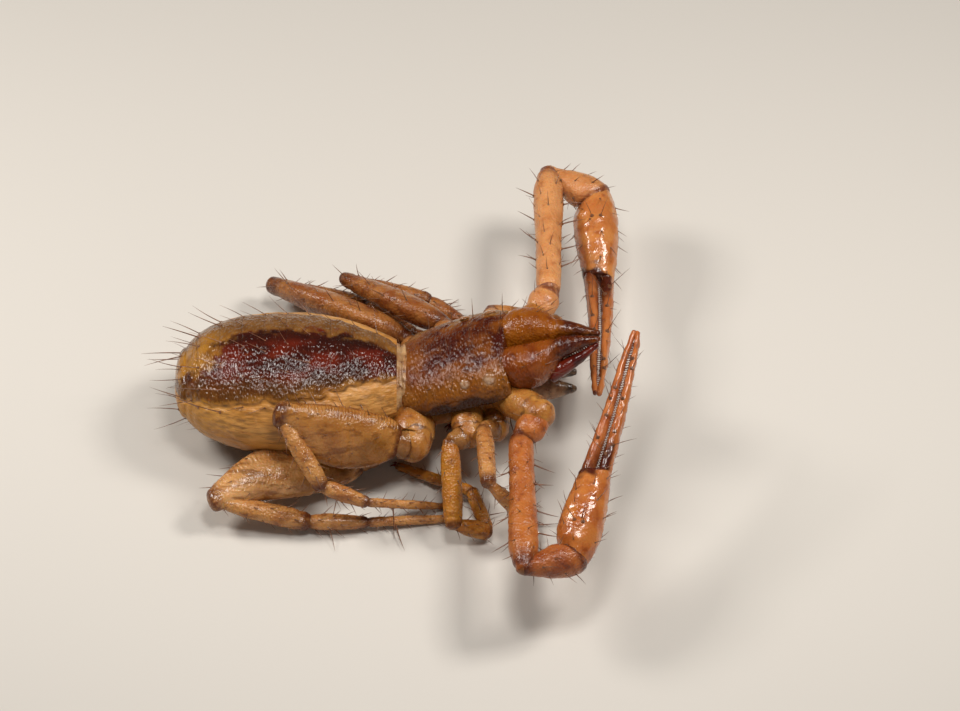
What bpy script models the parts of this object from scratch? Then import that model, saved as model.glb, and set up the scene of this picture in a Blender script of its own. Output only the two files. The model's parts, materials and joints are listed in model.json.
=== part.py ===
"""Pseudoscorpion standing with its pincers folded forward, modelled at life size.

The head points to +X, the left side to +Y and up is +Z. The feet stand at z = 0.
Shapes are worked out in millimetres and scaled to metres once, at the end.
"""
import math

import bmesh
import bpy
import numpy as np
from mathutils import Matrix, Vector

for leftover in list(bpy.data.objects):
    bpy.data.objects.remove(leftover)

METRES_PER_MM = 0.001
JOINT_GAP = 0.006
LEG_SIDES = 9
PALP_SIDES = 12
FOOT_HEIGHT = 0.011

# The abdomen: (x, half width, height of the axis, half height) from the rear to the waist.
ABDOMEN = (
    (-0.941, 0.000, 0.245, 0.000),
    (-0.925, 0.100, 0.250, 0.078),
    (-0.895, 0.160, 0.256, 0.125),
    (-0.840, 0.222, 0.260, 0.174),
    (-0.760, 0.272, 0.260, 0.210),
    (-0.630, 0.310, 0.258, 0.244),
    (-0.440, 0.321, 0.258, 0.254),
    (-0.250, 0.288, 0.268, 0.232),
    (-0.100, 0.228, 0.276, 0.186),
    (-0.012, 0.186, 0.280, 0.142),
)
ABDOMEN_SEGMENTS = 10
ABDOMEN_SIDES = 26
PLATE_HEIGHT = 0.010
# How far the back plates reach down each flank, in degrees, at shares of the length from the rear.
TERGITE_REACH = ((0.0, 0.25, 0.6, 1.0), (62.0, 52.0, 45.0, 32.0))
STERNITE_REACH = math.radians(50)

# The head and thorax, drawn flat and then tipped up about the waist.
HEAD_PITCH = math.radians(22)
WAIST = Vector((0.030, 0.0, 0.265))
CARAPACE_LENGTH = 0.475
# (share of the length, half width, height of the back above the edge)
CARAPACE = (
    (0.00, 0.176, 0.098),
    (0.06, 0.192, 0.118),
    (0.25, 0.216, 0.138),
    (0.55, 0.229, 0.140),
    (0.80, 0.230, 0.136),
    (0.94, 0.223, 0.126),
    (1.00, 0.211, 0.116),
)
CARAPACE_LIP = 0.022
EYES = {"front": (0.86, 40, 0.028), "rear": (0.63, 41, 0.022)}

# Chelicerae: the palm and its two fingers.
CHELICERA_BASE = (0.488, 0.020)
CHELICERA_PITCH = math.radians(18)
CHELICERA_PALM = 0.200
CHELICERA_DEEP = 0.100
CHELICERA_WIDE = 0.096
CHELICERA_FINGER = 0.168

# Segment lengths, the same left and right.
LEG_LENGTHS = {
    1: (0.104, 0.311, 0.19, 0.18, 0.36),
    2: (0.091, 0.348, 0.16, 0.20, 0.37),
    3: (0.085, 0.523, 0.35, 0.20, 0.38),
    4: (0.150, 0.640, 0.40, 0.245, 0.36),
}
# Half depth and half width of each segment.
LEG_THICKNESS = {
    1: ((0.042, 0.040), (0.039, 0.036), (0.035, 0.032), (0.029, 0.026), (0.023, 0.021)),
    2: ((0.048, 0.044), (0.043, 0.039), (0.038, 0.034), (0.031, 0.028), (0.024, 0.022)),
    3: ((0.066, 0.056), (0.130, 0.056), (0.041, 0.035), (0.035, 0.030), (0.019, 0.018)),
    4: ((0.062, 0.054), (0.130, 0.064), (0.045, 0.038), (0.036, 0.031), (0.021, 0.020)),
}
LEG_NAMES = {
    1: ("femur", "patella", "tibia", "tarsus"),
    2: ("femur", "patella", "tibia", "tarsus"),
    3: ("femur", "tibia", "metatarsus", "tarsus"),
    4: ("femur", "tibia", "metatarsus", "tarsus"),
}
# The pose: where each leg leaves the body, then (yaw outwards from straight ahead, pitch)
# in degrees of each segment. The last pitch follows from the foot standing on the floor.
POSE = {
    ("right", 1): ((0.407, 0.245, 0.243), ((140.5, 46.7), (86.5, 3.5), (22, -42), (52, -76), (-86, 0))),
    ("right", 2): ((0.286, 0.300, 0.271), ((149, 14), (87, -31.6), (-7, -26), (-109, 10), (-149, 0))),
    ("right", 3): ((0.050, 0.300, 0.211), ((168, 30), (178, 23.4), (50, -38), (9, -21), (-18, 0))),
    ("right", 4): ((-0.062, 0.226, 0.135), ((149, -20), (158, 5), (6, -13), (-1, -2), (-7, 0))),
    ("left", 1): ((0.395, 0.234, 0.353), ((101, -17), (6, -22), (-100, 0), (-130, -50), (-160, 0))),
    ("left", 2): ((0.318, 0.236, 0.300), ((104, -18), (10, -26), (-10, -15), (-170, -5), (-165, 0))),
    ("left", 3): ((0.200, 0.257, 0.229), ((98, -5), (143, -9), (-8, -12), (-33, -10), (-14, 0))),
    ("left", 4): ((0.077, 0.198, 0.142), ((108, -8), (153, 1), (-4, -14), (-34, -3), (-26, 0))),
}

# How far the deep femora of these legs lean from the plane of the knee towards upright.
UPRIGHT = {("left", 3): 0.7, ("left", 4): 1.1}
# The back of a deep femur that leans on its own, away from the plane of its knee.
LEANING = {("right", 3): Vector((0.0, 0.66, 0.75))}

# Pedipalps: trochanter, femur, patella, then the pincer.
PALP_LENGTHS = (0.133, 0.69, 0.22)
PALP_THICKNESS = ((0.060, 0.066), (0.058, 0.060), (0.063, 0.065))
HAND_LENGTH = 0.41
FINGER_LENGTH = 0.64
HAND_DEEP = 0.092
HAND_WIDE = 0.095
PALP_POSE = {
    "right": ((0.592, 0.320, 0.436), ((133.6, -21.4), (89, 1), (-24, -12), (-74.5, 15), (-74.5, 16))),
    "left": ((0.577, 0.212, 0.440), ((69, 10), (90, -5), (-23.5, -16), (-87, -11), (-91, 4))),
}

COLOURS = {
    "abdomen": (0.16, 0.03, 0.012),
    "carapace": (0.27, 0.075, 0.012),
    "coxae": (0.40, 0.18, 0.04),
    "eye": (0.70, 0.58, 0.40),
    "chelicera": (0.42, 0.13, 0.015),
    "claw": (0.10, 0.010, 0.006),
    "palp": (0.50, 0.20, 0.07),
    "finger": (0.32, 0.07, 0.03),
    "leg": (0.42, 0.18, 0.06),
}

nodes = bpy.data.collections.new("pseudoscorpion")
cutters = bpy.data.collections.new("cutters")
bpy.context.scene.collection.children.link(nodes)
bpy.context.scene.collection.children.link(cutters)
cutters.hide_render = True
materials = {}


def material(kind):
    """The glossy cuticle in one of the colours above."""
    if kind not in materials:
        made = bpy.data.materials.new(kind)
        made.use_nodes = True
        shader = made.node_tree.nodes["Principled BSDF"]
        shader.inputs["Base Color"].default_value = (*COLOURS[kind], 1.0)
        shader.inputs["Roughness"].default_value = 0.35
        materials[kind] = made
    return materials[kind]


def heading(yaw, pitch, side):
    """A unit vector, with yaw counted towards the limb's own side."""
    turn = math.radians(yaw)
    rise = math.radians(pitch)
    return Vector((math.cos(rise) * math.cos(turn), side * math.cos(rise) * math.sin(turn), math.sin(rise)))


def square_to(vector, along):
    """The part of a vector at right angles to another, as a unit vector."""
    return (vector - along * vector.dot(along)).normalized()


def link(mesh, name, kind, into):
    obj = bpy.data.objects.new(name, mesh)
    obj.data.materials.append(material(kind))
    into.objects.link(obj)
    return obj


def loft(name, kind, stations, sides=16, grow=0.0, power=2.0, into=nodes):
    """A closed solid through oval sections, each (centre, along, deep, half deep, half wide)."""
    mesh = bpy.data.meshes.new(name)
    work = bmesh.new()
    rings = []
    for centre, along, deep, half_deep, half_wide in stations:
        up = square_to(deep, along)
        across = along.cross(up)
        ring = []
        for k in range(sides):
            angle = 2 * math.pi * (k + 0.5) / sides
            c = math.copysign(abs(math.cos(angle)) ** (2 / power), math.cos(angle))
            s = math.copysign(abs(math.sin(angle)) ** (2 / power), math.sin(angle))
            point = centre + up * (half_deep + grow) * c + across * (half_wide + grow) * s
            ring.append(work.verts.new(point))
        rings.append(ring)
    for near, far in zip(rings, rings[1:]):
        for k in range(sides):
            after = (k + 1) % sides
            work.faces.new((near[k], near[after], far[after], far[k]))
    first = stations[0]
    last = stations[-1]
    poles = (
        (rings[0], first[0] - first[1] * (0.35 * min(first[3], first[4]) + grow), True),
        (rings[-1], last[0] + last[1] * (0.35 * min(last[3], last[4]) + grow), False),
    )
    for ring, tip, at_start in poles:
        pole = work.verts.new(tip)
        for k in range(sides):
            after = (k + 1) % sides
            corner = (ring[after], ring[k], pole) if at_start else (ring[k], ring[after], pole)
            work.faces.new(corner)
    bmesh.ops.recalc_face_normals(work, faces=work.faces)
    work.to_mesh(mesh)
    work.free()
    return link(mesh, name, kind, into)


def rounded(stations):
    """The same sections with a domed end fore and aft."""
    out = []
    for centre, along, deep, half_deep, half_wide in stations[:1]:
        size = min(half_deep, half_wide)
        out.append((centre - along * size * 0.55, along, deep, half_deep * 0.55, half_wide * 0.55))
        out.append((centre - along * size * 0.28, along, deep, half_deep * 0.86, half_wide * 0.86))
    out.extend(stations)
    for centre, along, deep, half_deep, half_wide in stations[-1:]:
        size = min(half_deep, half_wide)
        out.append((centre + along * size * 0.28, along, deep, half_deep * 0.86, half_wide * 0.86))
        out.append((centre + along * size * 0.55, along, deep, half_deep * 0.55, half_wide * 0.55))
    return out


def boolean(target, operation, others):
    """Joins or cuts the target with other objects and keeps its largest piece."""
    helpers = bpy.data.collections.new("helpers")
    for other in others:
        helpers.objects.link(other)
    change = target.modifiers.new(operation.lower(), "BOOLEAN")
    change.operation = operation
    change.operand_type = "COLLECTION"
    change.collection = helpers
    change.solver = "EXACT"
    bpy.context.view_layer.update()
    graph = bpy.context.evaluated_depsgraph_get()
    result = bpy.data.meshes.new_from_object(target.evaluated_get(graph))
    target.modifiers.clear()
    target.data = result
    bpy.data.collections.remove(helpers)
    keep_largest(target)


def keep_largest(obj):
    """Drops the crumbs that a cut leaves."""
    work = bmesh.new()
    work.from_mesh(obj.data)
    bmesh.ops.remove_doubles(work, verts=work.verts, dist=2e-4)
    unseen = set(work.faces)
    pieces = []
    while unseen:
        piece = set()
        edge_of = [unseen.pop()]
        while edge_of:
            face = edge_of.pop()
            piece.add(face)
            for edge in face.edges:
                for other in edge.link_faces:
                    if other in unseen and len(edge.link_faces) == 2:
                        unseen.remove(other)
                        edge_of.append(other)
        pieces.append(piece)
    pieces.sort(key=lambda piece: sum(face.calc_area() for face in piece))
    crumbs = [face for piece in pieces[:-1] for face in piece]
    bmesh.ops.delete(work, geom=crumbs, context="FACES")
    loose = [vert for vert in work.verts if not vert.link_faces]
    bmesh.ops.delete(work, geom=loose, context="VERTS")
    work.to_mesh(obj.data)
    work.free()


def build_abdomen(name="abdomen", grow=0.0, into=nodes):
    """The hind body with its back and belly plates standing above the soft flanks."""
    table = np.array(ABDOMEN)
    rear = table[0, 0]
    front = table[-1, 0]
    step = (front - rear) / ABDOMEN_SEGMENTS
    shares = [rear + 0.004, rear + 0.012, rear + 0.028]
    for k in range(ABDOMEN_SEGMENTS):
        start = rear + k * step
        if k:
            shares.extend([start, start + 0.18 * step])
        shares.extend([start + 0.55 * step, start + 0.86 * step])
    shares.append(front)
    mesh = bpy.data.meshes.new(name)
    work = bmesh.new()
    rings = []
    for x in shares:
        half_wide, axis_z, half_high = (float(np.interp(x, table[:, 0], table[:, c])) for c in (1, 2, 3))
        if x < table[2, 0]:
            sink = math.sqrt(max(0.0, 1 - ((table[2, 0] - x) / (table[2, 0] - rear)) ** 2))
            half_wide = table[2, 1] * sink
            half_high = table[2, 3] * sink
            axis_z = table[2, 2]
        phase = ((x - rear) / step) % 1.0
        rise = min(1.0, phase / 0.18, (1 - phase) / 0.14) if x > rear + 0.05 else 0.6
        reach = math.radians(float(np.interp((x - rear) / (front - rear), *TERGITE_REACH)))
        ring = []
        for k in range(ABDOMEN_SIDES):
            angle = 2 * math.pi * k / ABDOMEN_SIDES
            tilt = min(angle, 2 * math.pi - angle)
            on_back = min(1.0, max(0.0, (reach - tilt) / 0.12))
            on_belly = min(1.0, max(0.0, (tilt - math.pi + STERNITE_REACH) / 0.12))
            lift = PLATE_HEIGHT * max(0.0, rise) * max(on_back, on_belly) - 0.004 + grow
            high = axis_z + math.cos(angle) * (half_high + lift)
            point = Vector((x, math.sin(angle) * (half_wide + lift), high))
            ring.append(work.verts.new(point))
        rings.append(ring)
    for near, far in zip(rings, rings[1:]):
        for k in range(ABDOMEN_SIDES):
            after = (k + 1) % ABDOMEN_SIDES
            work.faces.new((near[k], near[after], far[after], far[k]))
    for ring, x in ((rings[0], rear - grow), (rings[-1], front + grow)):
        pole = work.verts.new(Vector((x, 0.0, sum(vert.co.z for vert in ring) / len(ring))))
        for k in range(ABDOMEN_SIDES):
            work.faces.new((ring[k], ring[(k + 1) % ABDOMEN_SIDES], pole))
    bmesh.ops.recalc_face_normals(work, faces=work.faces)
    work.to_mesh(mesh)
    work.free()
    return link(mesh, name, "abdomen", into)


HEAD_TURN = Matrix.Rotation(-HEAD_PITCH, 3, "Y")


def on_head(along, across, high):
    """A point of the head and thorax, from its own flat frame."""
    return WAIST + HEAD_TURN @ Vector((along, across, high))


def head_point(share, angle, lift=0.0):
    """A point on the back of the carapace, with the angle counted up from its edge."""
    table = np.array(CARAPACE)
    half_wide = float(np.interp(share, table[:, 0], table[:, 1]))
    high = float(np.interp(share, table[:, 0], table[:, 2]))
    c = math.cos(angle)
    s = math.sin(angle)
    c = math.copysign(abs(c) ** 0.86, c)
    s = abs(s) ** 0.86
    return (share * CARAPACE_LENGTH, c * (half_wide + lift), s * (high + lift))


def build_carapace(name="carapace", grow=0.0, into=nodes):
    """The shield: an arched back over a flat underside with a thin lip."""
    mesh = bpy.data.meshes.new(name)
    work = bmesh.new()
    arch = 20
    rings = []
    shares = [0.0, 0.03, 0.08, 0.18, 0.30, 0.42, 0.54, 0.66, 0.78, 0.88, 0.95, 1.0]
    for share in shares:
        ring = []
        for k in range(arch + 1):
            along, across, high = head_point(share, math.pi * k / arch, grow)
            if share == 1.0:
                along += grow
            if share == 0.0:
                along -= grow
            ring.append(work.verts.new(on_head(along, across, high)))
        edge = head_point(share, 0.0, grow)
        for across in (-0.93, -0.5, 0.0, 0.5, 0.93):
            along = edge[0] + (grow if share == 1.0 else -grow if share == 0.0 else 0.0)
            ring.append(work.verts.new(on_head(along, across * edge[1], -CARAPACE_LIP - grow)))
        rings.append(ring)
    count = len(rings[0])
    for near, far in zip(rings, rings[1:]):
        for k in range(count):
            after = (k + 1) % count
            work.faces.new((near[k], near[after], far[after], far[k]))
    for ring in (rings[0], rings[-1]):
        centre = sum((vert.co for vert in ring), Vector()) / count
        pole = work.verts.new(centre)
        for k in range(count):
            work.faces.new((ring[k], ring[(k + 1) % count], pole))
    bmesh.ops.recalc_face_normals(work, faces=work.faces)
    work.to_mesh(mesh)
    work.free()
    return link(mesh, name, "carapace", into)


def build_eye(name, share, angle, radius, side):
    """A low round lens let into the side of the carapace."""
    along, across, high = head_point(share, math.radians(angle))
    centre = on_head(along, side * across, high)
    inner = on_head(along, side * across * 0.6, high * 0.4)
    out = (centre - inner).normalized()
    base = centre - out * radius * 0.25
    mesh = bpy.data.meshes.new(name)
    work = bmesh.new()
    bmesh.ops.create_uvsphere(work, u_segments=12, v_segments=8, radius=1.0)
    turn = out.to_track_quat("Z", "Y").to_matrix()
    for vert in work.verts:
        flat = Vector((vert.co.x, vert.co.y, vert.co.z * 0.62)) * radius
        vert.co = base + turn @ flat
    work.to_mesh(mesh)
    work.free()
    return link(mesh, name, "eye", nodes)


def socket_for_eye(share, angle, radius, side):
    """The eye's outline, a joint gap larger, to cut its place in the carapace."""
    made = build_eye("eye_socket", share, angle, radius + JOINT_GAP, side)
    nodes.objects.unlink(made)
    cutters.objects.link(made)
    return made


# Limb profiles: (share of the length, share of the depth, share of the width, shift to the back).
ROD = (
    (0.00, 0.70, 0.70, 0),
    (0.08, 0.86, 0.86, 0),
    (0.30, 1.00, 1.00, 0),
    (0.65, 1.00, 1.00, 0),
    (0.92, 0.92, 0.92, 0),
    (1.00, 0.84, 0.84, 0),
)
CLUB = (
    (0.00, 0.55, 0.55, 0),
    (0.12, 0.66, 0.66, 0),
    (0.40, 0.92, 0.92, 0),
    (0.75, 1.00, 1.00, 0),
    (0.94, 0.92, 0.92, 0),
    (1.00, 0.80, 0.80, 0),
)
ARM = (
    (0.00, 0.78, 0.78, 0),
    (0.06, 0.88, 0.88, 0),
    (0.25, 0.88, 0.88, 0),
    (0.50, 0.94, 0.94, 0),
    (0.70, 1.04, 1.04, 0),
    (0.83, 1.04, 1.04, 0),
    (0.92, 0.88, 0.88, 0),
    (1.00, 0.60, 0.60, 0),
)
GOBLET = (
    (0.00, 0.50, 0.50, 0),
    (0.10, 0.56, 0.56, 0),
    (0.28, 0.74, 0.74, 0),
    (0.50, 0.98, 0.98, 0),
    (0.72, 1.16, 1.16, 0),
    (0.88, 1.20, 1.20, 0),
    (1.00, 1.12, 1.12, 0),
)
HAND = (
    (0.00, 0.68, 0.68),
    (0.06, 0.80, 0.80),
    (0.16, 0.92, 0.92),
    (0.32, 0.99, 0.99),
    (0.50, 0.97, 0.97),
    (0.68, 0.87, 0.87),
    (0.84, 0.75, 0.77),
    (0.96, 0.62, 0.68),
)
PLATE = (
    (0.00, 0.46, 0.62, 0.02),
    (0.08, 0.70, 0.82, 0.08),
    (0.22, 0.94, 0.98, 0.15),
    (0.40, 1.00, 1.00, 0.20),
    (0.58, 0.90, 0.92, 0.21),
    (0.76, 0.70, 0.78, 0.18),
    (0.91, 0.51, 0.64, 0.09),
    (1.00, 0.40, 0.56, 0.01),
)
BLADE = (
    (0.00, 0.60, 0.70, 0.00),
    (0.07, 0.76, 0.86, -0.02),
    (0.22, 0.92, 1.00, -0.08),
    (0.40, 1.00, 1.00, -0.12),
    (0.58, 0.95, 0.95, -0.13),
    (0.74, 0.80, 0.84, -0.11),
    (0.88, 0.54, 0.70, -0.03),
    (1.00, 0.42, 0.60, 0.00),
)
BLUNT_PLATE = tuple(
    (share, max(deep, 0.64 if share > 0.5 else 0.0), wide, shift * 0.6)
    for share, deep, wide, shift in PLATE
)
SLENDER = (
    (0.00, 0.62, 0.62, 0),
    (0.10, 0.84, 0.84, 0),
    (0.34, 1.00, 1.00, 0),
    (0.72, 0.88, 0.88, 0),
    (1.00, 0.70, 0.70, 0),
)
FOOT = (
    (0.00, 0.80, 0.80, 0),
    (0.08, 1.00, 1.00, 0),
    (0.45, 1.00, 1.00, 0),
    (0.85, 0.84, 0.84, 0),
    (1.00, 0.66, 0.66, 0),
)
KNOB = ((0.00, 0.62, 0.62, 0), (0.25, 0.92, 0.92, 0), (0.55, 1.0, 1.0, 0), (0.85, 0.80, 0.80, 0))


def along_profile(start, along, deep, length, profile, thickness):
    out = []
    for share, deep_share, wide_share, shift in profile:
        centre = start + along * length * share + square_to(deep, along) * shift * thickness[0] * 2
        out.append((centre, along, deep, thickness[0] * deep_share, thickness[1] * wide_share))
    return out


def mitred(stations, bend, from_end):
    """Turns the last or first three sections of a segment step by step into the plane of a bent joint."""
    out = list(stations)
    for step in range(3):
        k = len(out) - 1 - step if from_end else step
        centre, along, *rest = out[k]
        out[k] = (centre, along.lerp(bend, (3 - step) / 3).normalized(), *rest)
    return out


def build_leg(word, side, number):
    """One leg as a chain of four solids; the first holds the trochanter too."""
    hip, angles = POSE[(word, number)]
    lengths = LEG_LENGTHS[number]
    thickness = LEG_THICKNESS[number]
    headings = [heading(yaw, pitch, side) for yaw, pitch in angles]
    joints = [Vector((hip[0], side * hip[1], hip[2]))]
    for length, along in zip(lengths[:4], headings):
        joints.append(joints[-1] + along * length)
    drop = (FOOT_HEIGHT - joints[4].z) / lengths[4]
    flat = math.sqrt(1 - drop * drop)
    yaw = math.radians(angles[4][0])
    headings[4] = Vector((flat * math.cos(yaw), side * flat * math.sin(yaw), drop))
    joints.append(joints[4] + headings[4] * lengths[4])
    hinge = headings[1].cross(headings[2]).normalized()
    stocky = number > 2
    back = (headings[1].cross(hinge) + Vector((0, 0, UPRIGHT.get((word, number), 0.0)))).normalized()
    back = LEANING.get((word, number), back)
    first = along_profile(joints[0], headings[0], back, lengths[0], KNOB, thickness[0])
    bend = (headings[0] + headings[1]).normalized()
    neck = thickness[0][0] * 0.72
    first.append((joints[1], bend, back, max(neck, thickness[1][0] * 0.45), neck))
    shape = BLADE if (word, number) in LEANING else {3: BLUNT_PLATE, 4: PLATE}.get(number, ROD)
    slim = 0.72 if shape is BLUNT_PLATE else 1.0
    girth = (thickness[1][0] * slim, thickness[1][1])
    rest = along_profile(joints[1], headings[1], back, lengths[1], shape, girth)
    first.extend(station for station in rest if (station[0] - joints[1]).length > neck * 0.9)
    chain = [first]
    shapes = (CLUB, ROD, FOOT) if not stocky else (CLUB, SLENDER, FOOT)
    for k, profile in zip((2, 3, 4), shapes):
        deep = headings[k].cross(hinge)
        if deep.length < 0.3:
            deep = Vector((0.0, 0.0, 1.0))
        start = joints[k] + headings[k] * JOINT_GAP
        chain.append(along_profile(start, headings[k], deep, lengths[k] - JOINT_GAP, profile, thickness[k]))
    built = []
    for name, stations in zip(LEG_NAMES[number], chain):
        full = f"leg_{number}_{word}_{name}"
        built.append((loft(full, "leg", rounded(stations), LEG_SIDES), rounded(stations)))
    return built


def build_palp(word, side):
    """One pedipalp: trochanter, femur, patella, hand with its fixed finger, and the moving finger."""
    hip, angles = PALP_POSE[word]
    headings = [heading(yaw, pitch, side) for yaw, pitch in angles]
    joints = [Vector((hip[0], side * hip[1], hip[2]))]
    for length, along in zip(PALP_LENGTHS, headings):
        joints.append(joints[-1] + along * length)
    up = Vector((0.0, 0.0, 1.0))
    wrist = (headings[2] + headings[3]).normalized()
    built = []
    for k, (name, profile) in enumerate((("trochanter", KNOB), ("femur", ARM), ("patella", GOBLET))):
        start = joints[k] + headings[k] * JOINT_GAP * (k > 0)
        long = PALP_LENGTHS[k] - JOINT_GAP
        stations = along_profile(start, headings[k], up, long, profile, PALP_THICKNESS[k])
        if name == "patella":
            stations = mitred(stations, wrist, True)
        stations = rounded(stations)
        built.append((loft(f"palp_{word}_{name}", "palp", stations, PALP_SIDES), stations))
    along = headings[3]
    outer = side * along.cross(up)
    outer.normalize()
    base = joints[3] + along * JOINT_GAP
    hand = []
    for share, deep_share, wide_share in HAND:
        centre = base + along * HAND_LENGTH * share
        hand.append((centre, along, up, HAND_DEEP * deep_share, HAND_WIDE * wide_share))
    hand = mitred(hand, wrist, False)
    pointing = headings[4]
    split = 0.032
    for share in (0.0, 0.06, 0.2, 0.4, 0.6, 0.8, 0.92, 1.0):
        half = 0.037 - 0.024 * share
        aside = -outer * (split * (1 - 0.58 * share) - 0.012 * max(0.0, share - 0.9) * 5)
        where = base + along * HAND_LENGTH + pointing * FINGER_LENGTH * share + aside
        where += (up * 0.012 - outer * 0.010) * math.sin(math.pi * share)
        hand.append((where, pointing, up, half * 1.15, half * 0.80))
    built.append((loft(f"palp_{word}_hand", "palp", rounded(hand), PALP_SIDES), rounded(hand)))
    moving = []
    hinge = base + along * HAND_LENGTH * 0.93 + outer * split * 1.25
    for share in (0.0, 0.05, 0.2, 0.4, 0.6, 0.8, 0.92, 1.0):
        half = (0.037 - 0.024 * share) * (0.86 if share == 0.0 else 1.0)
        aside = outer * (split * (1 - 0.58 * share) - split * 1.25 + 0.006)
        where = hinge + pointing * (FINGER_LENGTH + HAND_LENGTH * 0.07) * share + aside
        where += (up * 0.012 - outer * 0.010) * math.sin(math.pi * share)
        moving.append((where, pointing, up, half * 1.15, half * 0.80))
    built.append((loft(f"palp_{word}_finger", "finger", rounded(moving), PALP_SIDES), rounded(moving)))
    return built


def build_chelicera(word, side):
    """One chelicera: the swollen palm with its fixed finger, and the moving finger outside it."""
    base = on_head(CHELICERA_BASE[0], 0.0, CHELICERA_BASE[1])
    along = heading(0, math.degrees(CHELICERA_PITCH), side)
    up = along.cross(Vector((0.0, 1.0, 0.0)))
    up = up if up.z > 0 else -up
    outer = Vector((0.0, side * 1.0, 0.0))
    palm = []
    for share, deep, wide in (
        (0.0, 0.92, 0.94),
        (0.15, 1.0, 1.0),
        (0.42, 0.98, 0.98),
        (0.66, 0.86, 0.88),
        (0.86, 0.68, 0.70),
        (1.0, 0.54, 0.52),
    ):
        half_wide = CHELICERA_WIDE * wide
        centre = base + along * CHELICERA_PALM * share + outer * (half_wide + JOINT_GAP / 2)
        centre += up * CHELICERA_DEEP * (1 - deep) * 0.25
        palm.append((centre, along, up, CHELICERA_DEEP * deep, half_wide))
    for share in (0.12, 0.3, 0.5, 0.7, 0.87, 1.0):
        half = 0.050 - 0.036 * share
        centre = base + along * (CHELICERA_PALM + CHELICERA_FINGER * share)
        centre += outer * (half + JOINT_GAP / 2) + up * (0.020 - 0.034 * share * share)
        palm.append((centre, along, up, half * (1.1 - 0.1 * share), half))
    palm_ends = palm + rounded(palm)[-2:]
    moving = []
    for share in (0.0, 0.12, 0.35, 0.6, 0.82, 1.0):
        half = 0.042 - 0.030 * share
        centre = base + along * (CHELICERA_PALM * 0.80 + (CHELICERA_FINGER + CHELICERA_PALM * 0.14) * share)
        centre += outer * (0.104 - 0.030 * share - 0.044 * share * share) - up * (0.062 - 0.030 * share)
        moving.append((centre, (along - outer * 0.25 * share).normalized(), up, half, half))
    return [
        (loft(f"chelicera_{word}_palm", "chelicera", palm_ends, 14), palm_ends),
        (loft(f"chelicera_{word}_finger", "claw", rounded(moving), 12), rounded(moving)),
    ]


def build_coxae():
    """The underside: the first joints of all limbs, grown together, with the mouth lobes in front."""
    plate = []
    up = HEAD_TURN @ Vector((0.0, 0.0, 1.0))
    ahead = HEAD_TURN @ Vector((1.0, 0.0, 0.0))
    for share, half_wide, low in (
        (-0.06, 0.130, 0.120),
        (0.02, 0.165, 0.150),
        (0.20, 0.185, 0.160),
        (0.45, 0.190, 0.160),
        (0.70, 0.180, 0.150),
        (0.92, 0.160, 0.130),
    ):
        top = -CARAPACE_LIP - JOINT_GAP
        half = (low + top) / 2
        centre = on_head(share * CARAPACE_LENGTH, 0.0, top - half)
        plate.append((centre, ahead, up, half, half_wide))
    body = loft("coxae", "coxae", plate, 20, power=2.8)
    lobes = []
    for side, word in ((1, "left"), (-1, "right")):
        for number in (1, 2, 3, 4):
            hip, angles = POSE[(word, number)]
            end = Vector((hip[0], side * hip[1], hip[2]))
            along = heading(angles[0][0], angles[0][1], side)
            size = LEG_THICKNESS[number][0][0] * 1.28
            inner = Vector((end.x * 0.9 + 0.02, side * 0.055, end.z + 0.01))
            way = (end - inner).normalized()
            stations = []
            for share, wide in ((0.0, 0.85), (0.35, 1.1), (0.7, 1.12), (0.92, 1.0)):
                stations.append((inner.lerp(end, share), way, up, size * wide, size * wide))
            stations.append((end + along * 0.004, (way + along).normalized(), up, size * 0.9, size * 0.9))
            lobes.append(loft(f"coxa_{number}_{word}", "coxae", stations, 10, into=cutters))
        hip, angles = PALP_POSE[word]
        end = Vector((hip[0], side * hip[1], hip[2]))
        inner = on_head(0.36, side * 0.085, -0.085)
        way = (end - inner).normalized()
        stations = []
        for share, wide in ((0.0, 0.75), (0.3, 1.0), (0.7, 1.02), (1.0, 0.9)):
            stations.append((inner.lerp(end, share), way, up, 0.072 * wide, 0.072 * wide))
        lobes.append(loft(f"coxa_palp_{word}", "coxae", stations, 12, into=cutters))
        root = on_head(0.38, side * 0.062, -0.135)
        tip = on_head(0.655, side * 0.044, -0.255)
        way = (tip - root).normalized()
        stations = []
        for share, size in ((0.0, 0.056), (0.35, 0.056), (0.7, 0.044), (0.9, 0.026), (1.0, 0.014)):
            stations.append((root.lerp(tip, share), way, up, size, size * 0.9))
        lobes.append(loft(f"mouth_lobe_{word}", "coxae", stations, 10, into=cutters))
    boolean(body, "UNION", lobes)
    for lobe in lobes:
        bpy.data.objects.remove(lobe)
    return body


def carve(target, pieces):
    """Cuts sockets a joint gap wider than the pieces that sit in them."""
    tools = []
    for stations, sides in pieces:
        tools.append(loft("socket", "leg", stations, sides, grow=JOINT_GAP, into=cutters))
    boolean(target, "DIFFERENCE", tools)
    for tool in tools:
        bpy.data.objects.remove(tool)


def cut_feet(obj):
    """Trims what dips under the floor, which leaves the small flats that the animal stands on."""
    work = bmesh.new()
    work.from_mesh(obj.data)
    if min(vert.co.z for vert in work.verts) < 0:
        geom = work.verts[:] + work.edges[:] + work.faces[:]
        floor = {"plane_co": (0, 0, 0), "plane_no": (0, 0, -1)}
        cut = bmesh.ops.bisect_plane(work, geom=geom, clear_outer=True, dist=1e-6, **floor)
        edges = [item for item in cut["geom_cut"] if isinstance(item, bmesh.types.BMEdge)]
        bmesh.ops.edgeloop_fill(work, edges=edges)
        bmesh.ops.recalc_face_normals(work, faces=work.faces)
    work.to_mesh(obj.data)
    work.free()


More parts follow.
